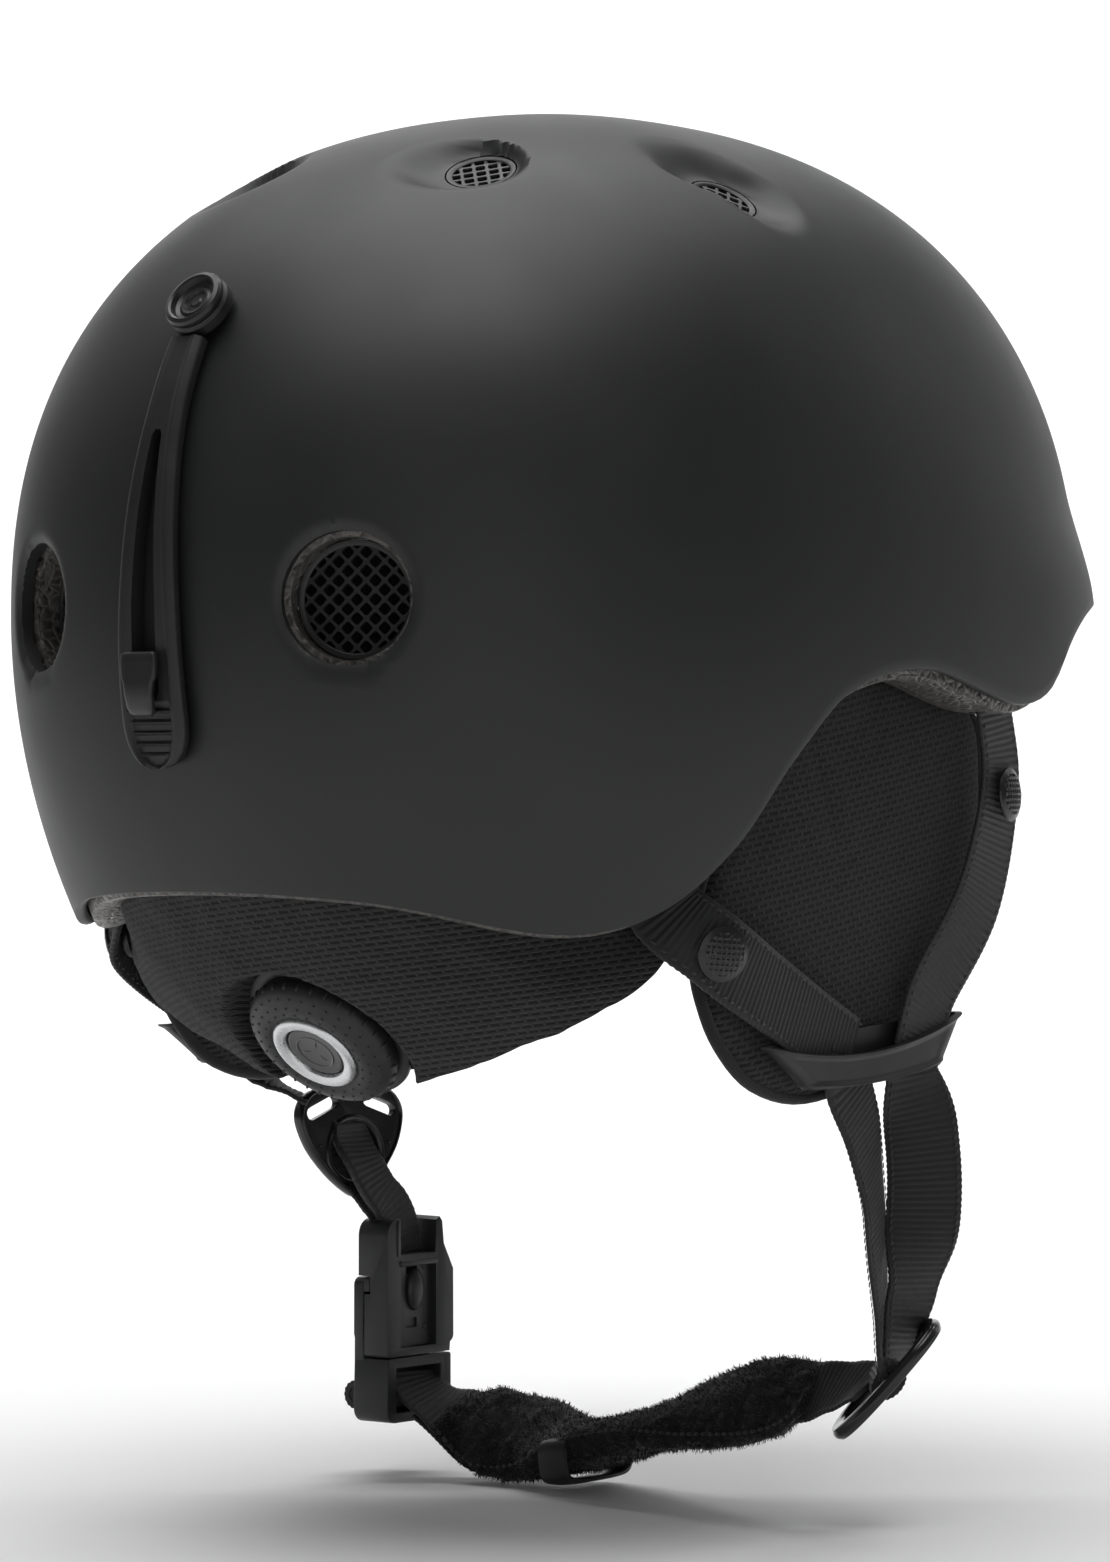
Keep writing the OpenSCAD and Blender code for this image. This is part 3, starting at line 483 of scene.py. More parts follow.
def spacer_mesh(name, around, cell=(2.1, 1.1), lean=12, hole=(0.0012, 0.0012, 0.0013), thread=(0.026, 0.026, 0.027)):
    """Knitted spacer mesh: rows of slanted rice-shaped holes. around gives the surface's two directions:
    "wall" for the ear pads' upright plane, "level" for a level disc, "band" for a band about the vertical axis."""
    n = Nodes(name, thread, 0.82, Specular_IOR_Level=0.25, Sheen_Weight=0.12, Sheen_Roughness=0.45)
    xyz = n.add("SeparateXYZ", Vector=n.place())
    x, y, z = xyz.outputs
    if around == "wall":
        u, v = y, z
    elif around == "level":
        u, v = x, y
    else:
        u, v = n.maths("MULTIPLY", n.maths("ARCTAN2", y, x), 100.0), z
    flat = n.add("CombineXYZ", X=u, Y=v).outputs[0]
    turned = n.add("VectorRotate", rotation_type="Z_AXIS", Vector=flat, Angle=math.radians(lean)).outputs[0]
    holes = n.add("TexBrick", Vector=turned, Scale=1.0, Mortar_Size=cell[1] * 0.36, Mortar_Smooth=0.55,
                  Brick_Width=cell[0], Row_Height=cell[1], offset=0.5)
    yarn = holes.outputs["Fac"]
    twist = n.add("TexWave", wave_type="BANDS", bands_direction="DIAGONAL", Vector=turned, Scale=1.9, Distortion=1.2,
                  Detail=1).outputs["Fac"]
    fuzz = n.noise(flat, 3.0, 2)
    tone = n.maths("MULTIPLY", yarn, n.ramp(fuzz, 0.2, 0.8, 0.65, 1.1))
    height = n.maths("ADD", yarn, n.maths("MULTIPLY", twist, 0.25))
    return n.finish(colour=n.mix(tone, hole, thread), normal=n.bump(height, 0.55, 0.9))


def knit_cloth(name, colour=(0.012, 0.012, 0.0125), scale=0.9):
    """Close jersey for bindings and inner faces."""
    n = Nodes(name, colour, 0.85, Specular_IOR_Level=0.25, Sheen_Weight=0.2, Sheen_Roughness=0.5)
    p = n.place()
    rows = n.add("TexWave", wave_type="BANDS", bands_direction="DIAGONAL", Vector=p, Scale=scale, Distortion=2.5,
                 Detail=2, Detail_Scale=2).outputs["Fac"]
    fuzz = n.noise(p, 2.5, 3)
    light = tuple(c * 2 for c in colour)
    return n.finish(colour=n.mix(n.maths("MULTIPLY", rows, fuzz), colour, light), normal=n.bump(rows, 0.16, 0.7))


def ribbed_webbing():
    """Polypropylene webbing: the ribs are in the mesh; this adds yarns and a slight gloss."""
    n = Nodes("ribbed_webbing", (0.012, 0.012, 0.013), 0.55, Specular_IOR_Level=0.45, Sheen_Weight=0.1)
    uv = n.add("UVMap", uv_map="webbing").outputs["UV"]
    x, y, _ = n.add("SeparateXYZ", Vector=uv).outputs
    yarns = n.add("CombineXYZ", X=n.maths("MULTIPLY", x, 2.4), Y=y).outputs[0]
    twill = n.add("TexWave", wave_type="BANDS", bands_direction="DIAGONAL", Vector=yarns, Scale=1.1, Distortion=0.8,
                  Detail=1).outputs["Fac"]
    fuzz = n.noise(n.place(), 1.5, 4)
    tone = n.maths("MULTIPLY", twill, n.ramp(fuzz, 0.25, 0.75, 0.4, 1.0))
    return n.finish(colour=n.mix(tone, (0.008, 0.008, 0.009), (0.024, 0.024, 0.026)),
                    roughness=n.ramp(fuzz, 0.3, 0.7, 0.45, 0.65), normal=n.bump(twill, 0.1, 0.6))


def pile(name="pile"):
    """Short black fleece."""
    n = Nodes(name, (0.006, 0.006, 0.0065), 0.75, Specular_IOR_Level=0.35, Sheen_Weight=0.35, Sheen_Roughness=0.35)
    p = n.place()
    clump, hair = n.noise(p, 0.25, 4), n.noise(p, 3.0, 3)
    tone = n.maths("MULTIPLY", clump, hair)
    return n.finish(colour=n.mix(n.ramp(tone, 0.1, 0.45, 0, 1), (0.004, 0.004, 0.004), (0.022, 0.021, 0.021)),
                    normal=n.bump(n.maths("ADD", clump, n.maths("MULTIPLY", hair, 0.5)), 0.8, 0.8))


def stitch_thread():
    n = Nodes("stitch_thread", (0.02, 0.02, 0.021), 0.6, Sheen_Weight=0.2)
    twist = n.add("TexWave", Vector=n.place(), Scale=3.0, Distortion=0.5, bands_direction="DIAGONAL").outputs["Fac"]
    return n.finish(colour=n.mix(twist, (0.012, 0.012, 0.012), (0.035, 0.035, 0.036)), normal=n.bump(twist, 0.08, 0.7))


SHELL_PAINT = matte_shell()
FOAM = bead_foam()
SCREEN_PLASTIC = moulded("screen_plastic", (0.009, 0.009, 0.0095), 0.42)
STRAP_RUBBER = moulded("strap_rubber", (0.0105, 0.0105, 0.011), 0.46, edge_highlight=0.25)
GRIP_RUBBER = moulded("grip_rubber", (0.014, 0.014, 0.0145), 0.5, grain=0.03)
CLIP_PLASTIC = moulded("clip_plastic", (0.010, 0.010, 0.011), 0.34)
CAP_GLOSS = moulded("cap_gloss", (0.004, 0.004, 0.0045), 0.12, grain=0.004, edge_highlight=0.1, Coat_Weight=0.6,
                    Coat_Roughness=0.05)
SNAP_PLASTIC = moulded("snap_plastic", (0.008, 0.008, 0.009), 0.26, edge_highlight=0.3)
RING_PLASTIC = moulded("ring_plastic", (0.008, 0.008, 0.0085), 0.2, grain=0.01)
BUCKLE_PLASTIC = moulded("buckle_plastic", (0.015, 0.0155, 0.0165), 0.42, grain=0.03, scale=3.0)
CRADLE_PLASTIC = moulded("cradle_plastic", (0.014, 0.0145, 0.015), 0.45)
CHROME = brushed_metal("chrome", (0.78, 0.79, 0.80))
SPRING_STEEL = brushed_metal("spring_steel", (0.42, 0.43, 0.45), 0.3)
ANCHOR_METAL = brushed_metal("anchor_metal", (0.16, 0.16, 0.17), 0.4)
MAGNET_METAL = brushed_metal("magnet_metal", (0.48, 0.49, 0.5), 0.28)
EAR_MESH = spacer_mesh("ear_mesh", "wall", cell=(3.3, 1.5), lean=9)
NAPE_MESH = spacer_mesh("nape_mesh", "band", cell=(2.7, 1.3), lean=-8)
LINER_MESH = spacer_mesh("liner_mesh", "band", cell=(2.2, 1.5), lean=0, thread=(0.02, 0.02, 0.021))
CROWN_MESH = spacer_mesh("crown_mesh", "level", cell=(2.2, 1.5), lean=0, thread=(0.02, 0.02, 0.021))
BINDING = knit_cloth("binding")
# painted shade: near-black cloth for the discs that stand in for the dark inside of each vent
VENT_SHADE = knit_cloth("vent_shade", (0.0012, 0.0012, 0.0012), 2.0)
WEBBING = ribbed_webbing()
FLEECE = pile()
THREAD = stitch_thread()

away = make_camera()
make_studio(away)


# ---- shell surface, with part.scad's own values ---------------------------------------
SHELL_W, SHELL_BACK, SHELL_FRONT, SHELL_H, SHELL_WALL = 108, 149, 129, 120, 3
PLAN_POWER, SIDE_POWER, TUCK, BRIM_FLARE = 2.32, 2.26, 0.145, 4.5
LINER_GAP, LINER_DEPTH, RIM_DEPTH, LINER_DROP, PAD_T = 0.5, 25, 19, 1.4, 5.5
RIM = [(0, -63), (18, -65), (36, -72), (47, -67.5), (56, -53), (63, -34), (71, -19), (85, -13), (100, -18.5),
       (108, -20.5), (115, -17), (121, -5), (127, 1.5), (135, 4.5), (150, 6), (180, 8)]


def from_rear(th):
    return np.abs((th - 90 + 180) % 360 - 180)


def rim_z(th):
    return curve_at(RIM, from_rear(th))


def plan_r(th):
    a = np.radians(th)
    reach = np.where(np.sin(a) > 0, SHELL_BACK, SHELL_FRONT)
    sideways, forwards = np.abs(np.cos(a)) / SHELL_W, np.abs(np.sin(a)) / reach
    return (sideways**PLAN_POWER + forwards**PLAN_POWER) ** (-1 / PLAN_POWER)


def draw_in(z):
    """How far the plan shrinks at a height: over the crown, and a little towards the rim."""
    up = np.clip(1 - np.clip(z / SHELL_H, 0, 1) ** SIDE_POWER, 0, 1) ** (1 / SIDE_POWER)
    return np.where(z > 0, up, 1 - TUCK * (z / 80) ** 2)


def shell_point(th, z):
    th, z = np.broadcast_arrays(np.asarray(th, float), np.asarray(z, float))
    a = np.radians(th)
    r = plan_r(th) * draw_in(z) + BRIM_FLARE * ease((from_rear(th) - 100) / 40) * ease((32 - z) / 30)
    return np.stack([r * np.cos(a), r * np.sin(a), z], -1)


def shell_normal(th, z):
    th, z = np.broadcast_arrays(np.asarray(th, float), np.asarray(z, float))
    a = np.radians(th)
    q = np.maximum(draw_in(z), 0.01)
    reach = np.where(np.sin(a) > 0, SHELL_BACK, SHELL_FRONT)
    x, y = plan_r(th) * q * np.cos(a), plan_r(th) * q * np.sin(a)
    gx = q ** (1 - PLAN_POWER) * (np.abs(x) / SHELL_W) ** (PLAN_POWER - 1) * np.sign(x) / SHELL_W
    gy = q ** (1 - PLAN_POWER) * (np.abs(y) / reach) ** (PLAN_POWER - 1) * np.sign(y) / reach
    w = np.where(z > 0, q ** (SIDE_POWER - 1), 1)
    gz = np.where(z > 0, np.clip(z / SHELL_H, 0, 1) ** (SIDE_POWER - 1) / SHELL_H, 2 * TUCK * z / 6400)
    return unit(np.stack([w * gx, w * gy, gz], -1))


def shell_at(th, z, depth=0.0):
    return shell_point(th, z) - np.asarray(depth)[..., None] * shell_normal(th, z)


def rear_at(x, z, depth=0.0):
    """The shell's surface on the rear half, with x and z given."""
    reach = draw_in(z)
    g = np.minimum(1, np.abs(x) / (SHELL_W * reach))
    y = SHELL_BACK * reach * (1 - g**PLAN_POWER) ** (1 / PLAN_POWER)
    return shell_at(np.degrees(np.arctan2(y, x)), z, depth)


RIVET_Z = 63.5

# ---- vents ------------------------------------------------------------------------
REAR_VENT_AT, REAR_VENT_TURN, REAR_VENT_R = (46, 140, 0), 26, 14.5
REAR_VENT_DIR = (math.sin(math.radians(REAR_VENT_TURN)), math.cos(math.radians(REAR_VENT_TURN)), 0)
CROWN_VENT_R, SCOOP_DEPTH, SCOOP_FLOOR_R = 8.5, 4.6, 8.8
# Crown vents: middle, direction, which way the scoop's tail runs, and the scoop's reach at quarter turns from it:
# along the tail, the side away from the wearer's ear, opposite the tail, and the near side
CROWN_VENTS = {
    "back": ((34, 80, 102), (0.22, 0.5, 0.84), (-0.78, 0.61, -0.15), (24, 12.5, 11.5, 17)),
    "side": ((67, 29, 98), (0.57, 0.15, 0.8), (-0.68, 0.53, 0.5), (26, 15, 21, 10.4)),
}
SCREEN_DEPTHS = {"rear": 13, "crown": 6.6}


def flip(v, side):
    return np.array([side * v[0], v[1], v[2]], float)


def sink(points):
    """How far the shell dips at each point: rolled edges at the rear vents and scoops at the crown vents."""
    depth = np.zeros(points.shape[:-1])
    for side in (LEFT, RIGHT):
        to = points - flip(REAR_VENT_AT, side)
        d = flip(REAR_VENT_DIR, side)
        rho = np.linalg.norm(to - (to @ d)[..., None] * d, axis=-1)
        roll = np.clip((REAR_VENT_R + 2.8 - rho) / 2.8, 0, 1)
        near = (to @ d) > -40
        depth = np.maximum(depth, np.where(near, 2.3 * (1 - np.sqrt(1 - (0.97 * roll) ** 2)), 0))
        for at, direction, tail, reaches in CROWN_VENTS.values():
            d = unit(flip(direction, side))
            to = points - flip(at, side)
            height = to @ d
            to = to - height[..., None] * d
            t = flip(tail, side)
            t = unit(t - (t @ d) * d)
            w = np.cross(d, t) * side
            rho, turn = np.linalg.norm(to, axis=-1), np.degrees(np.arctan2(to @ w, to @ t)) % 360
            reach = curve_at(list(zip((0, 90, 180, 270, 360), (*reaches, reaches[0]))), turn)
            floor = np.clip(SCOOP_DEPTH + height, 0, 9)
            dip = floor * (1 - ease((rho - SCOOP_FLOOR_R) / np.maximum(reach - SCOOP_FLOOR_R, 1.5)))
            depth = np.maximum(depth, np.where(points[..., 2] > 60, dip, 0))
    return depth


def dome_points(columns, levels, depth, drop=0.0):
    """Rows of points over the shell, offset inwards. levels run from 0 at the rim to 1 at the top."""
    low = np.degrees(np.arcsin((rim_z(columns) - drop) / SHELL_H))
    z = SHELL_H * np.sin(np.radians(low[None, :] + (90 - low[None, :]) * np.asarray(levels)[:, None]))
    th = np.broadcast_to(columns[None, :], z.shape)
    on = shell_point(th, z)
    return shell_at(th, z, np.broadcast_to(depth, z.shape) + sink(on))


def spaced(stops):
    """Numbers from (value, step until the next value) pairs."""
    out = [np.arange(a, b - 1e-6, step) for (a, step), (b, _) in zip(stops, stops[1:])]
    return np.concatenate(out)


SHELL_COLUMNS = spaced([(0, 0.8), (8, 0.45), (42, 0.8), (60, 0.36), (84, 0.8), (96, 0.36), (120, 0.8), (138, 0.45),
                        (172, 0.8), (180, 1.5), (360, 0)])
SHELL_LEVELS = spaced([(0, 0.012), (0.22, 0.006), (0.52, 0.01), (0.64, 0.0042), (0.93, 0.012), (0.995, 0)])


def dome_piece(name, columns, levels, outer, rim_in, top_in, drop_out, drop_in, inner_levels, lip):
    """Closed cup: outer surface, rounded rim and inner surface."""
    depth_in = rim_in + (top_in - rim_in) * ease(np.asarray(inner_levels) * 1.6)[:, None]
    rows_out = dome_points(columns, levels, outer, drop_out)[::-1]
    rows_in = dome_points(columns, inner_levels, depth_in, drop_in)
    edge_out, edge_in = rows_out[-1], rows_in[0]
    turn = np.radians(np.array([30, 60, 90, 120, 150]))[:, None, None]
    bend = (edge_out + edge_in) / 2 + (edge_out - edge_in) / 2 * np.cos(turn) - np.array([0, 0, lip]) * np.sin(turn)
    rings = np.concatenate([rows_out, bend, rows_in])
    return loft(name, rings)


def vent_cutters(rear_r, crown_r):
    out = []
    for side in (LEFT, RIGHT):
        out.append(disc_cutter(flip(REAR_VENT_AT, side), flip(REAR_VENT_DIR, side), rear_r, -60, 20))
        for at, direction, _, _ in CROWN_VENTS.values():
            out.append(disc_cutter(flip(at, side), flip(direction, side), crown_r, -60, 20))
    return out


def make_shell():
    shell = dome_piece("shell", SHELL_COLUMNS, SHELL_LEVELS, 0.0, SHELL_WALL, SHELL_WALL, 0, 0,
                       spaced([(0, 0.04), (1, 0)]), 0.8)
    rivet_hole = disc_cutter(shell_at(90, RIVET_Z), shell_normal(90, RIVET_Z), 3.3, -8, 8, 32)
    cut(shell, vent_cutters(REAR_VENT_R, CROWN_VENT_R - 0.2) + [rivet_hole])
    settle(shell, SHELL_PAINT, nodes=["outer_shell"], angle=33)


def box_cutter(at, size, turn):
    corners = [(x, y, z) for z in (-0.5, 0.5) for x, y in ((-0.5, -0.5), (0.5, -0.5), (0.5, 0.5), (-0.5, 0.5))]
    a = math.radians(turn)
    spin = np.array([[math.cos(a), -math.sin(a), 0], [math.sin(a), math.cos(a), 0], [0, 0, 1]])
    points = (np.array(corners) * size) @ spin.T + at
    return loft("cutter", points.reshape(2, 4, 3))


FRONT_SLOT, REAR_SLOT = ((95.5, -36, -14), -9), ((80, 73, -62), 47)
WEB_W, WEB_T = 18, 1.6


def make_liner():
    columns = spaced([(0, 1.5), (60, 1.0), (120, 1.5), (360, 0)])
    liner = dome_piece("liner_foam_body", columns, spaced([(0, 0.02), (0.98, 0)]), SHELL_WALL + LINER_GAP, RIM_DEPTH,
                       LINER_DEPTH, LINER_DROP + 1.0, LINER_DROP + 1.8, spaced([(0, 0.03), (0.98, 0)]), 1.2)
    slots = []
    for side in (LEFT, RIGHT):
        for (at, turn), height in ((FRONT_SLOT, 34), (REAR_SLOT, 30)):
            slots.append(box_cutter(flip(at, side), (5, WEB_W + 3, height), side * turn))
    cut(liner, vent_cutters(REAR_VENT_R - 1.2, CROWN_VENT_R - 1) + slots)
    settle(liner, FOAM, nodes=["foam_liner"], angle=50)


def lattice(name, radius, thick, pitch=2.9, hole=1.95):
    """Disc of square lattice with rounded holes, and a rim, in its own plane."""
    ring = np.linspace(0, 2 * math.pi, 16, endpoint=False) + math.pi / 16
    c, s = superellipse(ring, 0.45)
    inner = np.stack([c, s], -1) * hole / 2 * 1.02
    k = 1 / np.maximum(np.abs(np.cos(ring)), np.abs(np.sin(ring)))
    outer = np.stack([np.cos(ring) * k, np.sin(ring) * k], -1) * pitch / 2
    # the outer ring takes the cell's own corners, so that neighbouring cells meet
    for a in (45, 135, 225, 315):
        corner = np.argmin(np.abs(np.degrees(ring) - a))
        outer[corner] = np.sign([math.cos(math.radians(a)), math.sin(math.radians(a))]) * pitch / 2
    count = math.ceil(radius / pitch) + 1
    points, faces = [], []
    soft = hole / 2 * 0.16
    for i in range(-count, count + 1):
        for j in range(-count, count + 1):
            centre = np.array([i, j]) * pitch
            if np.linalg.norm(centre) > radius + pitch:
                continue
            rows = [(outer, 0.0), (inner * (1 + soft), 0.0), (inner, 0.25), (inner, thick - 0.25),
                    (inner * (1 + soft), thick), (outer, thick)]
            start = len(points)
            for ring_points, z in rows:
                points += [(*(p + centre), z) for p in ring_points]
            faces += grid_faces(len(rows), 16, wrap_cols=True, start=start).tolist()
    plate = new_mesh(name, points, faces)
    plate.data.transform(Matrix.Rotation(math.radians(45), 4, "Z"))
    return plate


def make_screen(node, at, direction, radius, depth, side):
    place = local_frame(flip(at, side), flip(direction, side)) @ Matrix.Translation((0, 0, -depth * MM))
    plate = lattice(node + "_mesh", radius, 1.6)
    # cells beyond the rim go, and the ring covers the cut
    with editing(plate.data) as work:
        gone = [f for f in work.faces if f.calc_center_median().xy.length > (radius - 0.5) * MM]
        bmesh.ops.delete(work, geom=gone, context="FACES")
    plate.data.transform(place)
    profile = [(radius - 1.3, 0), (radius, 0), (radius, 2), (radius - 0.9, 2), (radius - 1.3, 1.7)]
    rim = revolve("rim", profile, 64, place)
    screen = join(node + "_lattice", [plate, rim])
    settle(screen, SCREEN_PLASTIC, nodes=[node])


def make_vent_shade(name, at, direction, radius, depth, side):
    """Thin near-black disc behind a screen, set into the vent: painted shade for the dark inside of the helmet seen
    through it.
    """
    place = local_frame(flip(at, side), flip(direction, side)) @ Matrix.Translation((0, 0, -depth * MM))
    rim = [(radius, -0.2), (radius - 0.1, 0.2)]
    dish = [(q, 0.2 - 0.5 * (1 - (q / radius) ** 2)) for q in np.linspace(radius - 0.6, 0.01, 12)]
    # the disc is painted shade, a near-black sheet where the vent holds only shade
    net = revolve(name, rim + dish + [(0.01, -0.7), (radius * 0.6, -0.5)], 64, place)
    settle(net, VENT_SHADE)


def make_screens():
    for side, word in SIDE_NAMES.items():
        make_screen(f"rear_screen_{word}", REAR_VENT_AT, REAR_VENT_DIR, 12.95, SCREEN_DEPTHS["rear"], side)
        make_vent_shade(f"rear_vent_shade_{word}", REAR_VENT_AT, REAR_VENT_DIR, 13.1, SCREEN_DEPTHS["rear"] + 2.2, side)
        for name, (at, direction, _, _) in CROWN_VENTS.items():
            make_screen(f"crown_screen_{name}_{word}", at, direction, 7.9, SCREEN_DEPTHS["crown"], side)
            make_vent_shade(f"crown_vent_shade_{name}_{word}", at, direction, 7.9, SCREEN_DEPTHS["crown"] + 1.6, side)


# ---- goggle strap retainer ----------------------------------------------------------
RETAINER_LIFT, RETAINER_T = 0.5, 4.0
RETAINER_HALF = [(-35.5, 3), (-34.5, 5.2), (-32, 7.4), (-28, 8.7), (-22, 8.9), (-5, 8.4), (20, 6.8),
                 (40, 5.3), (53, 4.9), (57, 4.7)]


def rivet_frame():
    return local_frame(shell_at(90, RIVET_Z), shell_normal(90, RIVET_Z))


def retainer_body():
    """Strap with a raised border and a recessed tab with grip ribs; its long slot is cut afterwards."""
    z = np.concatenate([np.linspace(-35.4, -34, 6), np.linspace(-33.8, -20, 64), np.linspace(-19, 56.5, 70)])
    turn = np.linspace(0, 2 * math.pi, 72, endpoint=False)
    c, s = superellipse(turn, 0.55)
    rings = []
    for height in z:
        half = curve_at(RETAINER_HALF, height)
        x = c * half
        border = np.exp(-(((np.abs(x) - half + 1.7) / 0.8) ** 2)) * 0.45
        tab = ease((-20.5 - height) / 2.5)
        dish = -0.9 * tab * ease((half - 2.6 - np.abs(x)) / 0.9)
        ribs = 0.75 * tab * np.maximum(0, np.cos((height + 23.4) * 2 * math.pi / 2.3)) ** 1.5
        ribs = ribs * ease((half - 3.0 - np.abs(x)) / 0.7) * ease((height + 33.2) / 1.0)
        rise = np.where(s > 0.3, border + dish + ribs, 0)
        out = RETAINER_LIFT + RETAINER_T * (1 + s) / 2 * 0.94 + rise
        rings.append(rear_at(x, np.full_like(x, height), -out))
    return loft("strap", np.array(rings))


def make_retainer():
    body = retainer_body()
    half_slot = [(2.7, -21.4), (3.6, -19.6), (3.4, 0), (2.4, 20), (1.4, 36.3), (0.7, 37.6)]
    outline = half_slot + [(-x, z) for x, z in half_slot[::-1]]
    slot = loft("cutter", [[(x, y, z) for x, z in outline] for y in (135, 160)])
    cut(body, [slot])
    eyelet = revolve("eyelet", [(4.7, 1.2), (7.2, 1.2), (7.6, 1.8), (7.6, 3.9), (7.1, 4.7), (6.2, 5.0), (4.7, 4.8)], 72,
                     rivet_frame())
    retainer = join("goggle_retainer", [body, eyelet])
    settle(retainer, STRAP_RUBBER, body=None, nodes=["goggle_strap", "strap_eyelet"], angle=30)
    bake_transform(retainer)

    rivet = revolve("rivet_head", [(0.01, 5.2), (1.1, 5.25), (1.5, 4.9), (2.5, 4.9), (2.9, 5.5), (3.5, 5.6), (4.2, 5.1),
                                   (5.1, 5.5), (5.6, 6.7), (6.1, 7.0), (7.0, 6.7), (7.4, 6.0), (7.4, 5.25), (4.6, 5.2),
                                   (4.6, 3.0), (3.2, 2.9), (3.2, -2.6), (0.01, -2.6)], 96, rivet_frame())
    settle(rivet, CLIP_PLASTIC, nodes=["clip_rivet"], angle=28)

    # hook: a post through the slot and a tongue that curls over the strap
    place = local_frame(rear_at(np.array(0.0), np.array(-17.0)), shell_normal(90, -17.0))
    sections = []
    c, s = superellipse(np.linspace(0, 2 * math.pi, 28, endpoint=False), 0.42)
    tongue = [(6.6, 4.2, 5.5, 0.5), (6.2, 4.9, 5.7, 0.9), (4.5, 5.1, 5.9, 1.0), (1.0, 4.9, 6.2, 1.0),
              (0.0, 4.2, 6.4, 1.0), (-2.5, 3.9, 6.6, 1.0), (-5.5, 3.6, 6.3, 0.95), (-6.8, 3.2, 5.8, 0.85),
              (-7.4, 2.4, 5.4, 0.5)]
    for y, half, z, t in tongue:
        sections.append(np.stack([c * half, 0 * c + y, z + s * t], -1))
    head = loft("head", sections)
    post = loft("post", [[(x, y, z) for x, y in ((-1.9, -3), (1.9, -3), (1.9, 3), (-1.9, 3))] for z in (0.1, 6)])
    bevel(post, 0.3, 2)
    hook = join("clip_hook_tongue", [head, post])
    hook.data.transform(place)
    settle(hook, CLIP_PLASTIC, nodes=["clip_hook"], angle=50)


# ---- fit dial -------------------------------------------------------------------------
DIAL_AT, DIAL_TILT, DIAL_R, CORE_Z = (0, 90.3, -94.4), 44, 18.4, 1.9
DIAL_FRAME = Matrix.Translation(Vector(DIAL_AT) * MM) @ Matrix.Rotation(math.radians(-90 - DIAL_TILT), 4, "X")
BAND_AXIS_Z = -84


def dots(name, places, radius, height, stretch=1):
    """Small domes at (point, way up, way along); stretch lengthens them along."""
    rings = [(1.0, 0.0), (0.95, 0.35), (0.7, 0.75), (0.35, 0.95)]
    turn = np.linspace(0, 2 * math.pi, 10, endpoint=False)
    points, faces = [], []
    for at, up, long in places:
        up, long = unit(up), unit(long)
        cross = np.cross(up, long)
        start = len(points)
        for r, h in rings:
            middle = at + height * h * up
            points += [middle + radius * r * (np.cos(t) * long * stretch + np.sin(t) * cross) for t in turn]
        points.append(at + height * up)
        faces += grid_faces(len(rings), 10, wrap_cols=True, start=start).tolist()
        top = start + (len(rings) - 1) * 10
        faces += [[top + k, top + (k + 1) % 10, start + len(rings) * 10] for k in range(10)]
    return new_mesh(name, points, faces)


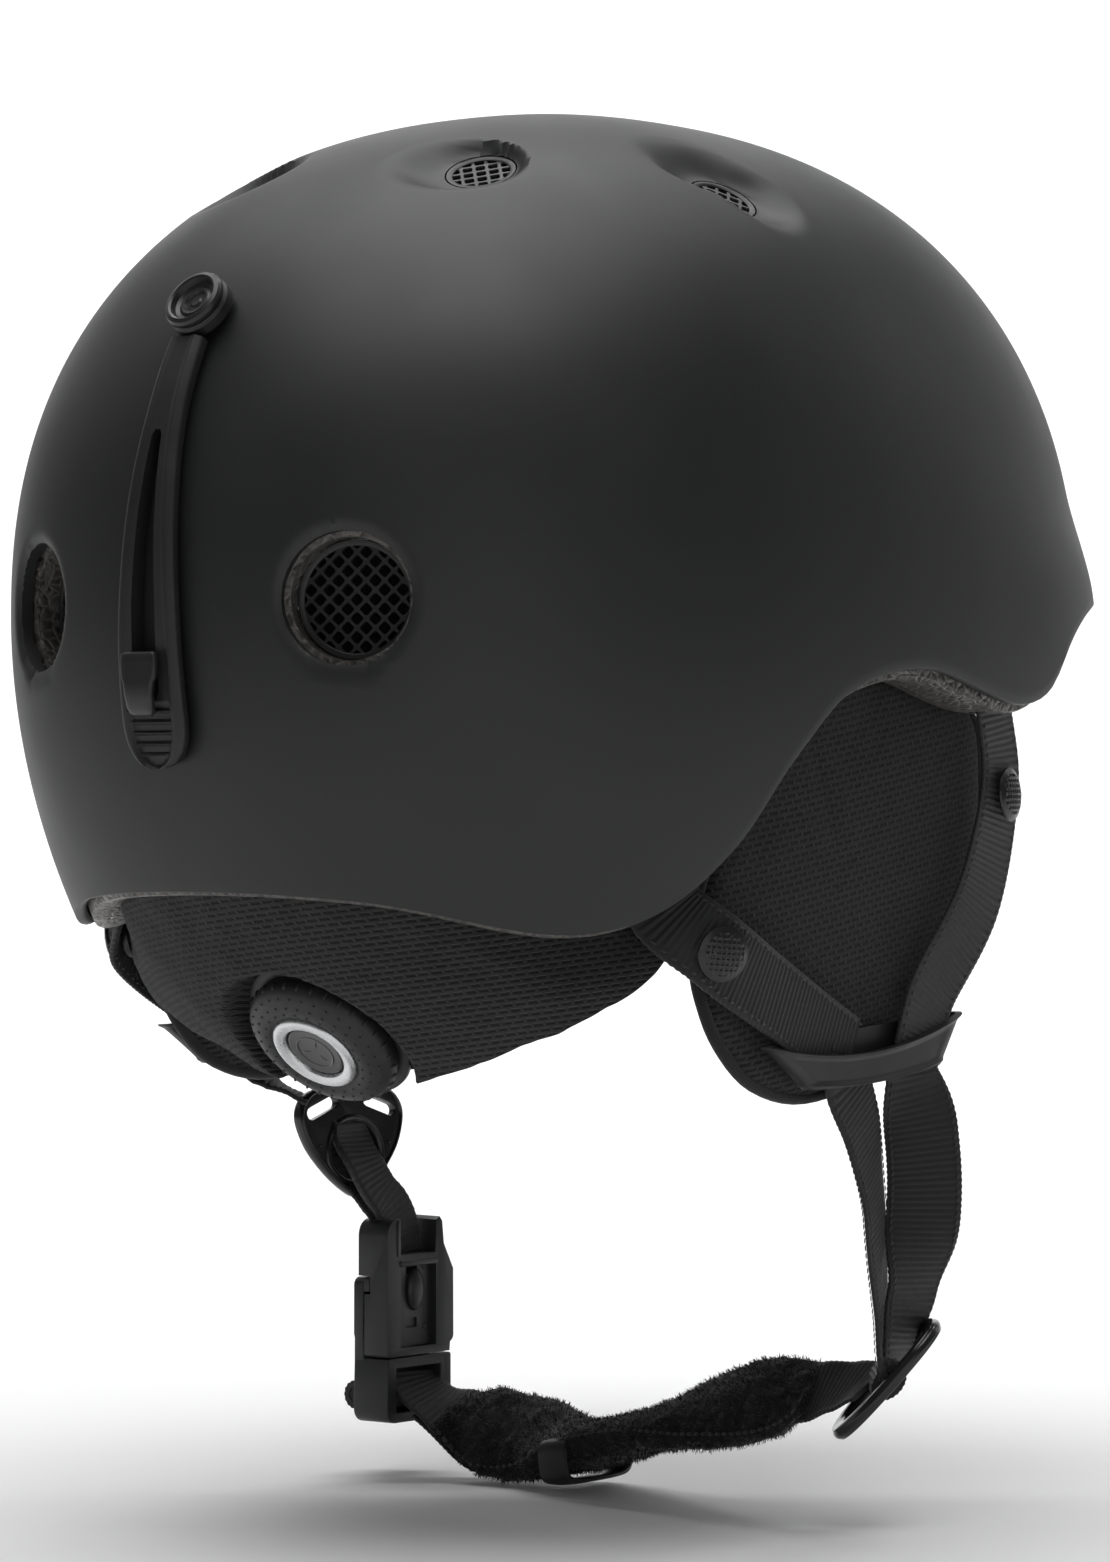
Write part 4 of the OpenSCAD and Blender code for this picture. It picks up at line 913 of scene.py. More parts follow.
def make_dial():
    r, z = DIAL_R, CORE_Z
    flange = revolve("dial_flange", [(3.5, -1.9), (12, -2), (16.4, -5.5), (17.0, -3), (17.6, -0.6), (20.0, -0.1),
                                     (20.5, 0.5), (20.3, 1.3), (19.4, 1.7), (17.5, 1.6), (3.5, 1.2)], 128, DIAL_FRAME)
    settle(flange, CRADLE_PLASTIC, nodes=["dial_housing"], angle=30)

    body = [(10.6, z + 0.2), (r - 1.1, z), (r - 0.3, z + 0.5), (r, z + 1.5), (r, z + 2.6), (r - 0.35, z + 3.7),
            (r - 1.1, z + 4.7), (r - 2.3, z + 5.6), (r - 3.8, z + 6.3), (r - 5.2, z + 6.6), (r - 6.6, z + 6.5),
            (r - 7.4, z + 6.1), (10.6, z + 5.6)]
    grip = revolve("grip", smooth_path(body, 4, closed=True), 144)
    pips = []
    for a in np.radians(np.arange(0, 360, 11.25)):
        out = np.array([math.cos(a), math.sin(a), 0])
        pips.append((out * (r - 0.15) + [0, 0, z + 3.0], out * 0.95 + [0, 0, 0.3], np.array([0, 0, 1]) - out * 0.35))
    side_pips = dots("pips", pips, 0.42, 0.5, stretch=2.6)
    face = []
    for radius, count, height, phase in ((r - 2.1, 32, z + 5.45, 0.5), (r - 4.1, 28, z + 6.35, 0),
                                         (r - 6.0, 24, z + 6.5, 0.5)):
        for k in range(count):
            a = 2 * math.pi * (k + phase) / count
            out = np.array([math.cos(a), math.sin(a), 0])
            face.append((out * radius + [0, 0, height], out * 0.35 * (radius > r - 3) + [0, 0, 1], out))
    face_dots = dots("face_dots", face, 0.36, 0.34)
    grip = join("dial_grip_rubber", [grip, side_pips, face_dots])
    grip.data.transform(DIAL_FRAME)
    settle(grip, GRIP_RUBBER, body="dial", nodes=["dial_grip"], angle=50)

    section = [(7.35, z + 4.1), (10.5, z + 4.1), (10.7, z + 6.1), (10.3, z + 6.9), (9.5, z + 7.25), (8.3, z + 6.95),
               (7.5, z + 6.4)]
    ring = revolve("dial_chrome_ring", smooth_path(section, 4, closed=True), 128, DIAL_FRAME)
    settle(ring, CHROME, body="dial", nodes=["dial_ring"], angle=40)

    top = 8.05

    def emblem(radius, height, angle):
        """A fine raised ring and three short rays, in place of a maker's symbol."""
        rays = np.maximum(0, np.cos(3 * angle)) ** 60
        line = np.exp(-((radius - 4.6) / 0.16) ** 2) + rays * np.exp(-((radius - 2.4) / 1.0) ** 4)
        return 0 * radius, np.where(height > top - 0.3, 0.22 * line, 0)

    profile = [(q, top - 0.25 * (1 - (q / 6.6) ** 2)) for q in np.linspace(0.01, 6.6, 52)]
    profile += [(7.0, top - 0.15), (7.25, top - 0.6), (7.25, 6.1), (0.01, 5.2)]
    cap = revolve("dial_cap_insert", profile, 120, DIAL_FRAME, emblem)
    settle(cap, CAP_GLOSS, body="dial", nodes=["dial_cap"], angle=40)


# ---- padded pieces -----------------------------------------------------------------------
def puff(piece, cap, pressure=4.0, frames=20):
    """Cloth simulation with air pressure inside; no point moves further than cap millimetres."""
    before = coords(piece)
    cloth = piece.modifiers.new("cloth", "CLOTH")
    fabric = cloth.settings
    fabric.use_pressure = True
    fabric.uniform_pressure_force = pressure
    fabric.effector_weights.gravity = 0
    fabric.tension_stiffness, fabric.compression_stiffness, fabric.shear_stiffness = 25, 20, 12
    fabric.quality = 5
    cloth.point_cache.frame_start = 1
    cloth.point_cache.frame_end = frames
    scene = bpy.context.scene
    for f in range(1, frames + 1):
        scene.frame_set(f)
    swollen = piece.evaluated_get(bpy.context.evaluated_depsgraph_get())
    co = np.empty(len(before) * 3)
    swollen.data.vertices.foreach_get("co", co)
    move = co.reshape(-1, 3) / MM - before
    piece.modifiers.clear()
    scene.frame_set(1)
    move -= move.mean(0)
    length = np.linalg.norm(move, axis=1, keepdims=True)
    scale = np.where(length > 1e-9, cap * np.tanh(length / cap) / np.maximum(length, 1e-9), 0)
    set_coords(piece, before + move * scale)


def wrinkles(piece, amount, size, seed=0):
    """Small uneven folds along the normals."""
    mesh = piece.data
    points = coords(piece)
    normals = np.array([v.normal[:] for v in mesh.vertices])
    shift = np.array([noise.fractal(Vector(p / size) + Vector((seed, 0, 0)), 0.7, 2.0, 3) for p in points])
    set_coords(piece, points + normals * (amount * shift)[:, None])


def pad(piece, material, nodes, cap, fold=0.25):
    """Padded fabric on the helmet itself: swollen, smoothed and finely folded."""
    puff(piece, cap)
    subdivide(piece)
    wrinkles(piece, fold, 9)
    settle(piece, material, nodes=nodes, angle=70)


def slab(name, front, back, edge=0.5):
    """Closed pad between two grids of points, with an extra rounded row round the sides."""
    front, back = np.asarray(front), np.asarray(back)
    middle = (front + back) / 2
    rows, cols = front.shape[:2]

    def border(grid):
        return np.concatenate([grid[0, :-1], grid[:-1, -1], grid[-1, :0:-1], grid[:0:-1, 0]])

    centre = middle.reshape(-1, 3).mean(0)
    rim = border(middle)
    rim = rim + unit(rim - centre) * edge
    count = len(rim)
    points = np.concatenate([front.reshape(-1, 3), back.reshape(-1, 3), rim])
    index = np.arange(rows * cols).reshape(rows, cols)
    loop = np.concatenate([index[0, :-1], index[:-1, -1], index[-1, :0:-1], index[:0:-1, 0]])
    base = 2 * rows * cols
    faces = grid_faces(rows, cols).tolist() + grid_faces(rows, cols, start=rows * cols).tolist()
    for k in range(count):
        m = (k + 1) % count
        faces.append([loop[k], loop[m], base + m, base + k])
        faces.append([base + k, base + m, loop[m] + rows * cols, loop[k] + rows * cols])
    return new_mesh(name, points, faces)


def pipe_points(path, radius, steps=10):
    """Rings of a round cord along a closed path."""
    t = unit(np.roll(path, -1, 0) - np.roll(path, 1, 0))
    side = unit(np.cross(t, np.array([0.31, 0.17, 0.93])))
    up = np.cross(t, side)
    a = np.linspace(0, 2 * math.pi, steps, endpoint=False)
    return path[:, None] + radius * (np.cos(a)[None, :, None] * side[:, None] + np.sin(a)[None, :, None] * up[:, None])


def inner_patch(name, th_a, th_b, z_a, z_b, columns, rows, round_z=5):
    """Pad on the inside of the liner, between two angles and two heights, with rounded ends and sewn channels."""
    depth = LINER_DEPTH + 0.6
    u = np.linspace(0, 1, columns + 1)[:, None]
    v = np.linspace(0, 1, rows + 1)[None, :]
    th = th_a + (th_b - th_a) * u + 0 * v
    ends = round_z * (1 - np.sin(math.pi * u))

    def grid(d, inset):
        low, high = z_a + ends + inset, z_b - ends - inset
        channel = 0.8 * np.exp(-(((u * 3) % 1 - 0.5) / 0.06) ** 2) * (d > depth + 1)
        return shell_at(th, low + (high - low) * v, d - channel)

    return slab(name, grid(depth + PAD_T - 1.6, 1.8), grid(depth, 0.4))


def make_comfort_pads():
    for name, node, area, columns in (("brow_cushion", "brow_pad", (210, 330, 22, 52), 48),
                                      ("side_cushion_left", "side_pad_left", (-20, 17, 32, 66), 16),
                                      ("side_cushion_right", "side_pad_right", (163, 200, 32, 66), 16),
                                      ("rear_cushion", "rear_pad", (76, 104, 14, 60), 16)):
        pad(inner_patch(name, *area, columns, 10), LINER_MESH, [node], 1.4)

    # crown pad: a dished disc under the top of the liner
    turn = np.linspace(0, 360, 48, endpoint=False)
    depth = LINER_DEPTH + 0.6
    under = [shell_at(turn, np.full(48, z), depth + PAD_T - 1.6) for z in (119.99, 119.8, 119.2, 118.1, 116.6, 115.2)]
    above = [shell_at(turn, np.full(48, z), depth) for z in (114.8, 116.4, 118.0, 119.2, 119.8, 119.99)]
    crown = loft("crown_cushion", np.array(under + above))
    pad(crown, CROWN_MESH, ["crown_pad"], 1.2)


# Outer face and thickness of an ear pad, and its outline in (y, z)
EAR_OUT, EAR_T = 86.4, 11
EAR_OUTLINE = [(-47, -21), (-51, -45), (-45, -68), (-28, -92), (-5, -106), (20, -111), (40, -107.5), (53, -98),
               (60, -87), (62.5, -76), (61, -64), (50, -46), (38, -31), (26, -21), (12, -15), (0, -14), (-20, -14.5)]


def make_ear_pad(side):
    word = SIDE_NAMES[side]
    outline = smooth_path(EAR_OUTLINE, 5, closed=True)
    centre = outline.mean(0)
    shares = np.array([0.03, 0.2, 0.38, 0.55, 0.7, 0.82, 0.91, 0.97, 1.0])
    thick = EAR_T / 2 * np.sqrt(np.maximum(0, 1 - shares**7)) * 0.86
    rings = []
    for share, t in zip([*shares, *shares[-2::-1]], [*thick, *-thick[-2::-1]]):
        flat = centre + (outline - centre) * share
        rings.append(np.column_stack([np.full(len(flat), EAR_OUT - EAR_T / 2 + t), flat]))
    ear = mirror_x(loft(f"ear_cushion_{word}", np.array(rings)), side)
    pad(ear, EAR_MESH, [f"ear_pad_{word}"], 1.8, fold=0.3)
    # the edge binding
    path = np.column_stack([np.full(len(outline), EAR_OUT - EAR_T / 2), centre + (outline - centre) * 0.995])
    cord = loft(f"ear_piping_{word}", pipe_points(path, 1.5), closed=True)
    settle(mirror_x(cord, side), BINDING, angle=80)


# Nape pad: its lower edge's distance from the vertical axis and its height, against the angle from the rear
NAPE_LOW_R = [(0, 83), (14, 86), (27, 90.5), (38, 98), (46, 102.5), (52, 104)]
NAPE_LOW_Z = [(0, -108), (14, -104.5), (25, -99), (38, -90.5), (46, -82.5), (52, -72)]
NAPE_HALF, PAD_SKIN = 51, 3.2


def nape_point(b, v):
    """Point on the pad's outer face, at an angle from the rear and a share of the way down."""
    th = 90 + b
    top = shell_at(th, rim_z(th) - LINER_DROP - 1.8, np.full(np.shape(b), 13.0))
    a, r = np.radians(th), curve_at(NAPE_LOW_R, np.abs(b))
    low = np.stack([r * np.cos(a), r * np.sin(a), curve_at(NAPE_LOW_Z, np.abs(b))], -1)
    out = unit(np.stack([np.cos(a), np.sin(a), -np.ones_like(a)], -1))
    bulge = 3.5 * np.sin(math.pi * v) * np.sin(np.radians(90 * (1 - np.abs(b) / 70)))
    return top + (low - top) * v[..., None] + bulge[..., None] * out


def make_nape_pad():
    b, v = np.meshgrid(np.linspace(-NAPE_HALF, NAPE_HALF, 93), np.linspace(0, 1, 25), indexing="ij")
    on = nape_point(b, v)
    normal = unit(np.cross(nape_point(b + 0.5, v) - on, nape_point(b, v + 0.01) - on))
    pull = 0.8 * (1 - np.sin(math.pi * v) ** 0.4)
    nape = slab("nape_pad_cover", on - normal * pull[..., None], on - normal * (PAD_SKIN - 0.3), 0.8)
    puff(nape, 1.6)
    subdivide(nape)
    wrinkles(nape, 0.5, 14, 3)
    # the pad lies flat under the dial's flange, at this height in the dial's frame
    seat = -0.5
    inward = DIAL_FRAME.inverted()
    co = coords(nape)
    local = np.array([(inward @ (Vector(p) * MM))[:] for p in co]) / MM
    radius = np.linalg.norm(local[:, :2], axis=1)
    press = ease((24.5 - radius) / 3.5) * (local[:, 2] > -12)
    local[:, 2] = np.where(local[:, 2] > seat, local[:, 2] + (seat - local[:, 2]) * press, local[:, 2])
    set_coords(nape, [np.array((DIAL_FRAME @ (Vector(p) * MM))[:]) / MM for p in local])
    settle(nape, NAPE_MESH, nodes=["nape_pad"], angle=70)


def band_point(radius, angle, y):
    """Point in the dial's frame on a band that bends about an axis along y."""
    a = np.radians(angle)
    return np.stack([radius * np.sin(a), y + 0 * a, BAND_AXIS_Z + radius * np.cos(a)], -1)


def make_nape_cushion():
    a, y = np.meshgrid(np.linspace(-45, 45, 61), np.linspace(-16.2, 14.2, 15), indexing="ij")
    channel = 0.9 * np.exp(-((((a + 45) / 15) % 1 - 0.5) / 0.07) ** 2)
    cushion = slab("nape_cushion_cover", band_point(65.8 + channel, a, y), band_point(70.6 + 0 * a, a, y), 0.5)
    cushion.data.transform(DIAL_FRAME)
    pad(cushion, LINER_MESH, ["nape_cushion"], 1.2)


# ---- webbing ----------------------------------------------------------------------------
# Paths for the wearer's left, with the width direction at equal stretches along each
FRONT_WEB = [(95.5, -36, -2), (95.5, -36, -20), (96.3, -37.5, -40), (94.5, -31, -66), (91.8, -17, -86),
             (91.5, -12.5, -94), (91.45, -9.5, -102)]
FRONT_SIDES = [(0.162, 0.987, 0), (0.1, 0.97, 0.15), (0, 0.9, 0.43), (0, 0.97, 0.15)]
REAR_WEB = [(80, 73, -52), (80.4, 72.6, -66), (89, 64, -76.5), (90.2, 42, -88), (89.8, 27, -95.4), (89.75, 15, -101)]
REAR_SIDES = [(0.68, -0.73, 0), (0.2, -0.55, 0.75), (0, -0.45, 0.89), (0, -0.75, 0.66)]
LOWER_REAR = [(89.75, 15, -101), (89.7, 15.4, -107), (89.2, 9, -118), (87.5, 2.5, -132), (86, -1.5, -146),
              (84, -6, -160), (82.8, -8, -170), (82.2, -10.6, -175.5)]
LOWER_REAR_SIDES = [(0, 0.98, 0.2), (0.35, 0.9, 0), (0.5, 0.85, 0)]
LOWER_FRONT = [(91.45, -8.5, -101), (91.5, -8.2, -107), (92.4, -10, -119), (92, -12, -132), (89.5, -14, -146),
               (86.6, -14, -159), (84, -12.6, -170), (82.6, -11.6, -175.5)]
LOWER_FRONT_SIDES = [(0, 0.98, -0.1), (-0.65, 0.75, 0), (-0.7, 0.7, 0), (-0.1, 1, 0), (0.3, 0.95, 0)]
FRONT_SNAP = ((96.3, -38, -42), (0.97, -0.2, 0.05))
REAR_SNAP = ((89, 64, -76.5), (0.9, 0.42, -0.15))
CHIN = [(62.6, -14, -188.6), (57.5, -15, -192.5), (46, -17.5, -197.5), (33, -19.5, -200.5), (18, -20.5, -201.5),
        (2, -20, -198.5), (-15, -19, -193), (-35, -17, -187.5), (-52, -14.8, -183.6), (-66, -13, -180.6)]


def resample(path, step):
    """The same path with points at equal distances."""
    length = np.concatenate([[0], np.cumsum(np.linalg.norm(np.diff(path, axis=0), axis=1))])
    count = max(8, int(length[-1] / step))
    at = np.linspace(0, length[-1], count + 1)
    return np.column_stack([np.interp(at, length, path[:, k]) for k in range(3)]), at


def web_rows(points, sides, step=0.3):
    """Frames along a webbing: position, distance, along, across and normal."""
    path, at = resample(smooth_path(points, 24), step)
    t = tangents(path)
    share = at / at[-1] * (len(sides) - 1)
    k = np.minimum(share.astype(int), len(sides) - 2)
    turn = ease(share - k)[:, None]
    sides = np.asarray(sides, float)
    side = sides[k] * (1 - turn) + sides[k + 1] * turn
    side = unit(side - (side * t).sum(1, keepdims=True) * t)
    return path, at, t, side, np.cross(t, side)


def web_uv(piece, across, along):
    """UV map of millimetres across and along the webbing, from a value for each vertex."""
    layer = piece.data.uv_layers.new(name="webbing")
    index = np.empty(len(piece.data.loops), int)
    piece.data.loops.foreach_get("vertex_index", index)
    layer.data.foreach_set("uv", np.stack([across, along], -1)[index].ravel())


def webbing(name, points, sides, width=WEB_W, thick=WEB_T, rib=0.36, pitch=1.45, cup=0.0):
    """Ribbed ribbon; cup bends it across."""
    path, at, _, side, normal = web_rows(points, sides, pitch / 4)
    turn = np.linspace(0, 2 * math.pi, 32, endpoint=False)
    c, s = superellipse(turn, 0.3)
    wave = np.cos(2 * math.pi * at / pitch)[:, None]
    across = c[None, :] * (width / 2 + 0.1 * wave * (np.abs(c) > 0.97))
    inside = np.abs(c) < 0.9
    out = s[None, :] * (thick / 2 - rib / 2 + rib / 2 * wave * inside) + cup * (c[None, :] ** 2 - 0.5)
    rings = path[:, None] + across[..., None] * side[:, None] + out[..., None] * normal[:, None]
    piece = loft(name, rings)
    web_uv(piece, across.ravel(), np.repeat(at, across.shape[1]))
    return piece


def stitches(name, points, sides, offsets, out, spacing=2.3, start=0.0):
    """Rows of raised stitches along a webbing, at the given distances across."""
    path, at, t, side, normal = web_rows(points, sides, spacing)
    keep = at >= start * at[-1]
    places = []
    for offset in offsets:
        for p, way, s, n in zip(path[keep], t[keep], side[keep], normal[keep]):
            places.append((p + offset * s + out * n, np.sign(out) * n, way + 0.25 * s))
    return dots(name, places, 0.3, 0.24, stretch=2.5)


def bar_tack(name, points, sides, at_share, out, rows=5, width=13):
    """Dense zigzag of stitches across a webbing."""
    path, _, t, side, normal = web_rows(points, sides)
    k = int(at_share * (len(path) - 1))
    places = []
    for row in range(rows):
        for j in range(int(width / 0.9)):
            u = -width / 2 + j * 0.9
            p = path[k] + t[k] * (row * 1.5 + 0.35 * (-1) ** j) + side[k] * u + out * normal[k]
            places.append((p, np.sign(out) * normal[k], side[k]))
    return dots(name, places, 0.28, 0.24, stretch=1.7)


def snap_cap(place):
    """Press snap: a low dome with a cross-hatched face and a rolled edge."""
    def hatch(radius, height, angle):
        x, y = radius * np.cos(angle), radius * np.sin(angle)
        lines = np.maximum(np.cos(2 * math.pi * x / 1.25), np.cos(2 * math.pi * y / 1.25))
        face = (height > 2.95) * ease((5.2 - radius) / 0.5)
        return 0 * radius, 0.2 * face * np.clip(lines * 1.6, -0.4, 1)

    dome = [(q, 3.75 - 0.75 * (q / 5.3) ** 2) for q in np.linspace(0.01, 5.3, 34)]
    return revolve("snap", dome + [(5.7, 2.75), (6.2, 2.6), (6.35, 2.2), (6.1, 1.75), (0.01, 1.7)], 96, place, hatch)


def snap_socket(place):
    profile = [(0.01, -2.0), (2.2, -2.1), (2.6, -2.7), (4.2, -2.9), (5.2, -2.5), (5.5, -1.6), (5.3, -0.9),
               (0.01, -0.85)]
    return revolve("socket", profile, 64, place)


def make_upper_webs(side):
    word = SIDE_NAMES[side]
    for name, node, points, sides in (("front_web", f"front_web_{word}", FRONT_WEB, FRONT_SIDES),
                                      ("rear_web", f"rear_web_{word}", REAR_WEB, REAR_SIDES)):
        web = mirror_x(webbing(f"{name}_ribbed_{word}", points, sides), side)
        settle(web, WEBBING, nodes=[node], angle=60)
        face = -1 if name == "front_web" else 1
        edge = WEB_W / 2 - 1.4
        rows = stitches("rows", points, sides, (-edge, edge), face * WEB_T / 2, start=0.2)
        inner_rows = stitches("inner_rows", points, sides, (-edge, edge), -face * WEB_T / 2, start=0.2)
        tack = bar_tack("tack", points, sides, 0.45, face * WEB_T / 2)
        thread = mirror_x(join(f"{name}_stitching_{word}", [rows, inner_rows, tack]), side)
        settle(thread, THREAD, angle=80)
    snaps = []
    for at, direction in (FRONT_SNAP, REAR_SNAP):
        place = local_frame(at, direction)
        snaps += [snap_cap(place), snap_socket(place)]
    snaps = mirror_x(join(f"press_snaps_{word}", snaps), side)
    settle(snaps, SNAP_PLASTIC, nodes=[f"snaps_{word}"], angle=35)


KEEPER_X, KEEPER_WALL, KEEPER_SLOPE, KEEPER_INSIDE = 90.6, 1.3, 0.07, 3.4
# Height, front and rear of the keeper's sleeve
KEEPER_ROWS = [(-105.7, -18, 32), (-100.5, -22, 39), (-94.5, -26.5, 47.5)]


def make_keeper(side):
    """Rubber sleeve with a rolled lip above, a fine bead below and a sunk panel on its outer face."""
    word = SIDE_NAMES[side]
    rows = smooth_path(KEEPER_ROWS, 14)
    share = np.linspace(0, 1, len(rows))
    a = np.radians(np.arange(0, 360, 3.75))

    def wall(grow):
        z, front, rear = rows.T
        _, s = superellipse(a, 0.5)
        y = front[None] + (rear - front)[None] * (np.cos(a)[:, None] + 1) / 2
        g = np.broadcast_to(grow, y.shape)
        x = KEEPER_X + (KEEPER_INSIDE / 2 + g) * s[:, None]
        y = y + g * np.cos(a)[:, None]
        sag = (1.0 + 4.0 * share[None]) * (np.sin(a)[:, None] > 0) * np.sin(a)[:, None] ** 2
        return np.stack([x, y, z[None] - KEEPER_SLOPE * y - sag], -1)

    bead = 0.75 * np.exp(-(((share - 0.95) / 0.06) ** 2)) + 0.35 * np.exp(-(((share - 0.12) / 0.05) ** 2))
    panel = ease((share - 0.22) / 0.04) * ease((0.82 - share) / 0.04)
    facing = ease((np.sin(a) - 0.35) / 0.1) * ease((0.86 - np.abs(np.cos(a))) / 0.05)
    outer = wall(KEEPER_WALL + bead[None] - 0.3 * panel[None] * facing[:, None])
    inner = wall(np.zeros((1, 1)))[:, ::-1]
    keeper = mirror_x(loft(f"keeper_sleeve_{word}", np.concatenate([outer, inner], 1), closed=True), side)
    settle(keeper, STRAP_RUBBER, nodes=[f"keeper_{word}"], angle=50)


# ---- wearer's right: lower webbings and adjuster ---------------------------------------------
ADJ_AT = (-82, -11, -177)
ADJ_FACE = unit((-0.588, -0.46, -0.667))
ADJ_LONG = unit((0.53, 0.41, -0.75))
ADJ_LONG = unit(ADJ_LONG - (ADJ_LONG @ ADJ_FACE) * ADJ_FACE)
ADJ_FRAME = in_frame(ADJ_AT, ADJ_LONG, np.cross(ADJ_FACE, ADJ_LONG), ADJ_FACE)


def make_right_webs():
    for name, points, sides in (("rear", LOWER_REAR, LOWER_REAR_SIDES), ("front", LOWER_FRONT, LOWER_FRONT_SIDES)):
        web = mirror_x(webbing(f"right_lower_web_{name}", points, sides, 17.6), RIGHT)
        nodes = ["right_lower_webs"] if name == "rear" else []
        settle(web, WEBBING, body=None, nodes=nodes, angle=60)
        thread = stitches(f"right_web_stitching_{name}", points, sides, (-7.7, 7.7), -0.82, spacing=1.7)
        back = stitches("back", points, sides, (-7.7, 7.7), 0.82, spacing=1.7)
        thread = mirror_x(join(f"right_web_stitching_{name}", [thread, back]), RIGHT)
        settle(thread, THREAD, body=None, angle=80)
        for piece in (web, thread):
            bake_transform(piece)


def wrap(name, radius_x, radius_z, width, place, wobble=0.0, pitch=1.15):
    """Webbing folded round a bar: an oval sleeve about the local y axis."""
    turn = np.linspace(0, 2 * math.pi, 120, endpoint=False)
    y = np.linspace(-width / 2, width / 2, 14)
    wave = 0.1 * np.cos(turn * round(2 * math.pi * radius_x / pitch))
    rings = []
    for grow, order in ((WEB_T / 2, y), (-WEB_T / 2, y[::-1])):
        r = np.stack([(radius_x + grow + wave) * np.cos(turn), (radius_z + grow + wave) * np.sin(turn)], -1)
        rings += [np.column_stack([r[:, 0] + wobble * v, np.full(len(turn), v), r[:, 1]]) for v in order]
    piece = loft(name, np.array(rings), closed=True)
    co = coords(piece)
    web_uv(piece, co[:, 1], np.arctan2(co[:, 2], co[:, 0]) * radius_x)
    piece.data.transform(place)
    return piece


def oval_ring(name, half_x, half_y, across, thick):
    """Rounded oval frame with fine grooves round its rim."""
    turn = np.linspace(0, 2 * math.pi, 32, endpoint=False)
    tc, ts = superellipse(turn, 0.6)
    q = (across / 2 + 0.16 * np.cos(6 * turn) * (tc > 0.5)) * tc
    rings = []
    for c, s in zip(*superellipse(np.linspace(0, 2 * math.pi, 96, endpoint=False), 0.8)):
        out = unit((c / half_x, s / half_y))
        rings.append(np.stack([half_x * c + out[0] * q, half_y * s + out[1] * q, thick / 2 * ts], -1))
    return loft(name, np.array(rings), closed=True)


def rounded_bar(name, low, high, radius=0.4):
    """Block with soft edges between two corners."""
    (x0, y0, z0), (x1, y1, z1) = low, high
    bar = loft(name, [[(x0, y0, z), (x1, y0, z), (x1, y1, z), (x0, y1, z)] for z in (z0, z1)])
    bevel(bar, radius, 3)
    return bar


def make_adjuster():
    ring = oval_ring("ring", 15.6, 10.6, 4.4, 3.2)
    bar = rounded_bar("bar", (-2.4, -10.5, -1.2), (2.4, 10.5, 1.2), 0.9)
    adjuster = join("adjuster_ring", [ring, bar])
    adjuster.data.transform(ADJ_FRAME)
    settle(adjuster, RING_PLASTIC, "right_strap", ["right_adjuster"], angle=35)
    fold = wrap("right_web_fold", 4.0, 2.5, 15.5, ADJ_FRAME, 0.02)
    settle(fold, WEBBING, "right_strap", angle=60)


# ---- wearer's left: divider ring and webbing ---------------------------------------------------
RING_FRAME = (Matrix.Translation(Vector((76, -5, -128)) * MM) @ Matrix.Rotation(math.radians(-8), 4, "Z")
              @ Matrix.Rotation(math.radians(8), 4, "Y") @ Matrix.Rotation(math.radians(-90), 4, "Y"))


def stadium(width, height, steps=10):
    """Outline with round ends, lying along x."""
    r = height / 2
    right = [(width / 2 - r + r * math.cos(a), r * math.sin(a)) for a in np.linspace(-math.pi / 2, math.pi / 2, steps)]
    return np.array(right + [(-x, -y) for x, y in right])


def prism(name, outline, z0, z1, place=None):
    outline = np.asarray(outline, float)
    piece = loft(name, [np.column_stack([outline, np.full(len(outline), z)]) for z in (z0, z1)])
    if place is not None:
        piece.data.transform(place)
    return piece


def raised_edge(name, path, centre, half):
    """Rounded bead along a closed outline in the ring's own plane."""
    t = np.linspace(0, 2 * math.pi, 16, endpoint=False)
    flat = path[:, None] + unit(path - centre)[:, None] * (half * np.cos(t))[None, :, None]
    high = np.broadcast_to((1.75 * np.sin(t))[None, :, None], (len(path), len(t), 1))
    return loft(name, np.concatenate([flat, high], -1), closed=True)


def make_divider_ring():
    """Flat moulding with two slots above for the upper webs and an arched opening for the lower web."""
    outline = smooth_path([(13, 0), (12.4, 12), (7, 17), (-1, 15), (-8, 9.5), (-13, 3.5), (-14.4, 0), (-13, -3.5),
                           (-8, -9.5), (-1, -15), (7, -17), (12.4, -12)], 7, closed=True)
    plate = prism("plate", outline, -1.3, 1.3)
    slots = [prism("cutter", stadium(11, 3.2), -3, 3, Matrix.Translation((0.008, s * 0.0094, 0))
                   @ Matrix.Rotation(math.radians(90 + s * 20), 4, "Z")) for s in (-1, 1)]
    arch = []
    for a in np.radians(np.arange(0, 360, 7.5)):
        r = 8.0 if math.cos(a) > -0.35 else 8.0 - 1.6 * ((-0.35 - math.cos(a)) / 0.65)
        arch.append((-3.6 + (r + 0.6 * (math.cos(a) < 0)) * math.cos(a), r * math.sin(a)))
    arch = np.array(arch)
    cut(plate, slots + [prism("cutter", arch, -3, 3)])
    bevel(plate, 0.5, 3)
    centre = arch.mean(0)
    collar = raised_edge("collar", centre + (arch - centre) * 1.12, centre, 1.15)
    rim = raised_edge("rim", outline * 0.955, 0, 0.85)
    spots = [(np.array((x, y, s * 1.3)), (0, 0, s), (1, 0, 0))
             for x, y in ((-1.5, 11.4), (-1.5, -11.4), (10.9, 3.2), (10.9, -3.2)) for s in (-1, 1)]
    pips = dots("pips", spots, 0.55, 0.45)
    ring = join("divider_ring_moulding", [plate, collar, rim, pips])
    ring.data.transform(RING_FRAME)
    settle(ring, RING_PLASTIC, "left_strap", ["divider_ring"], angle=35)


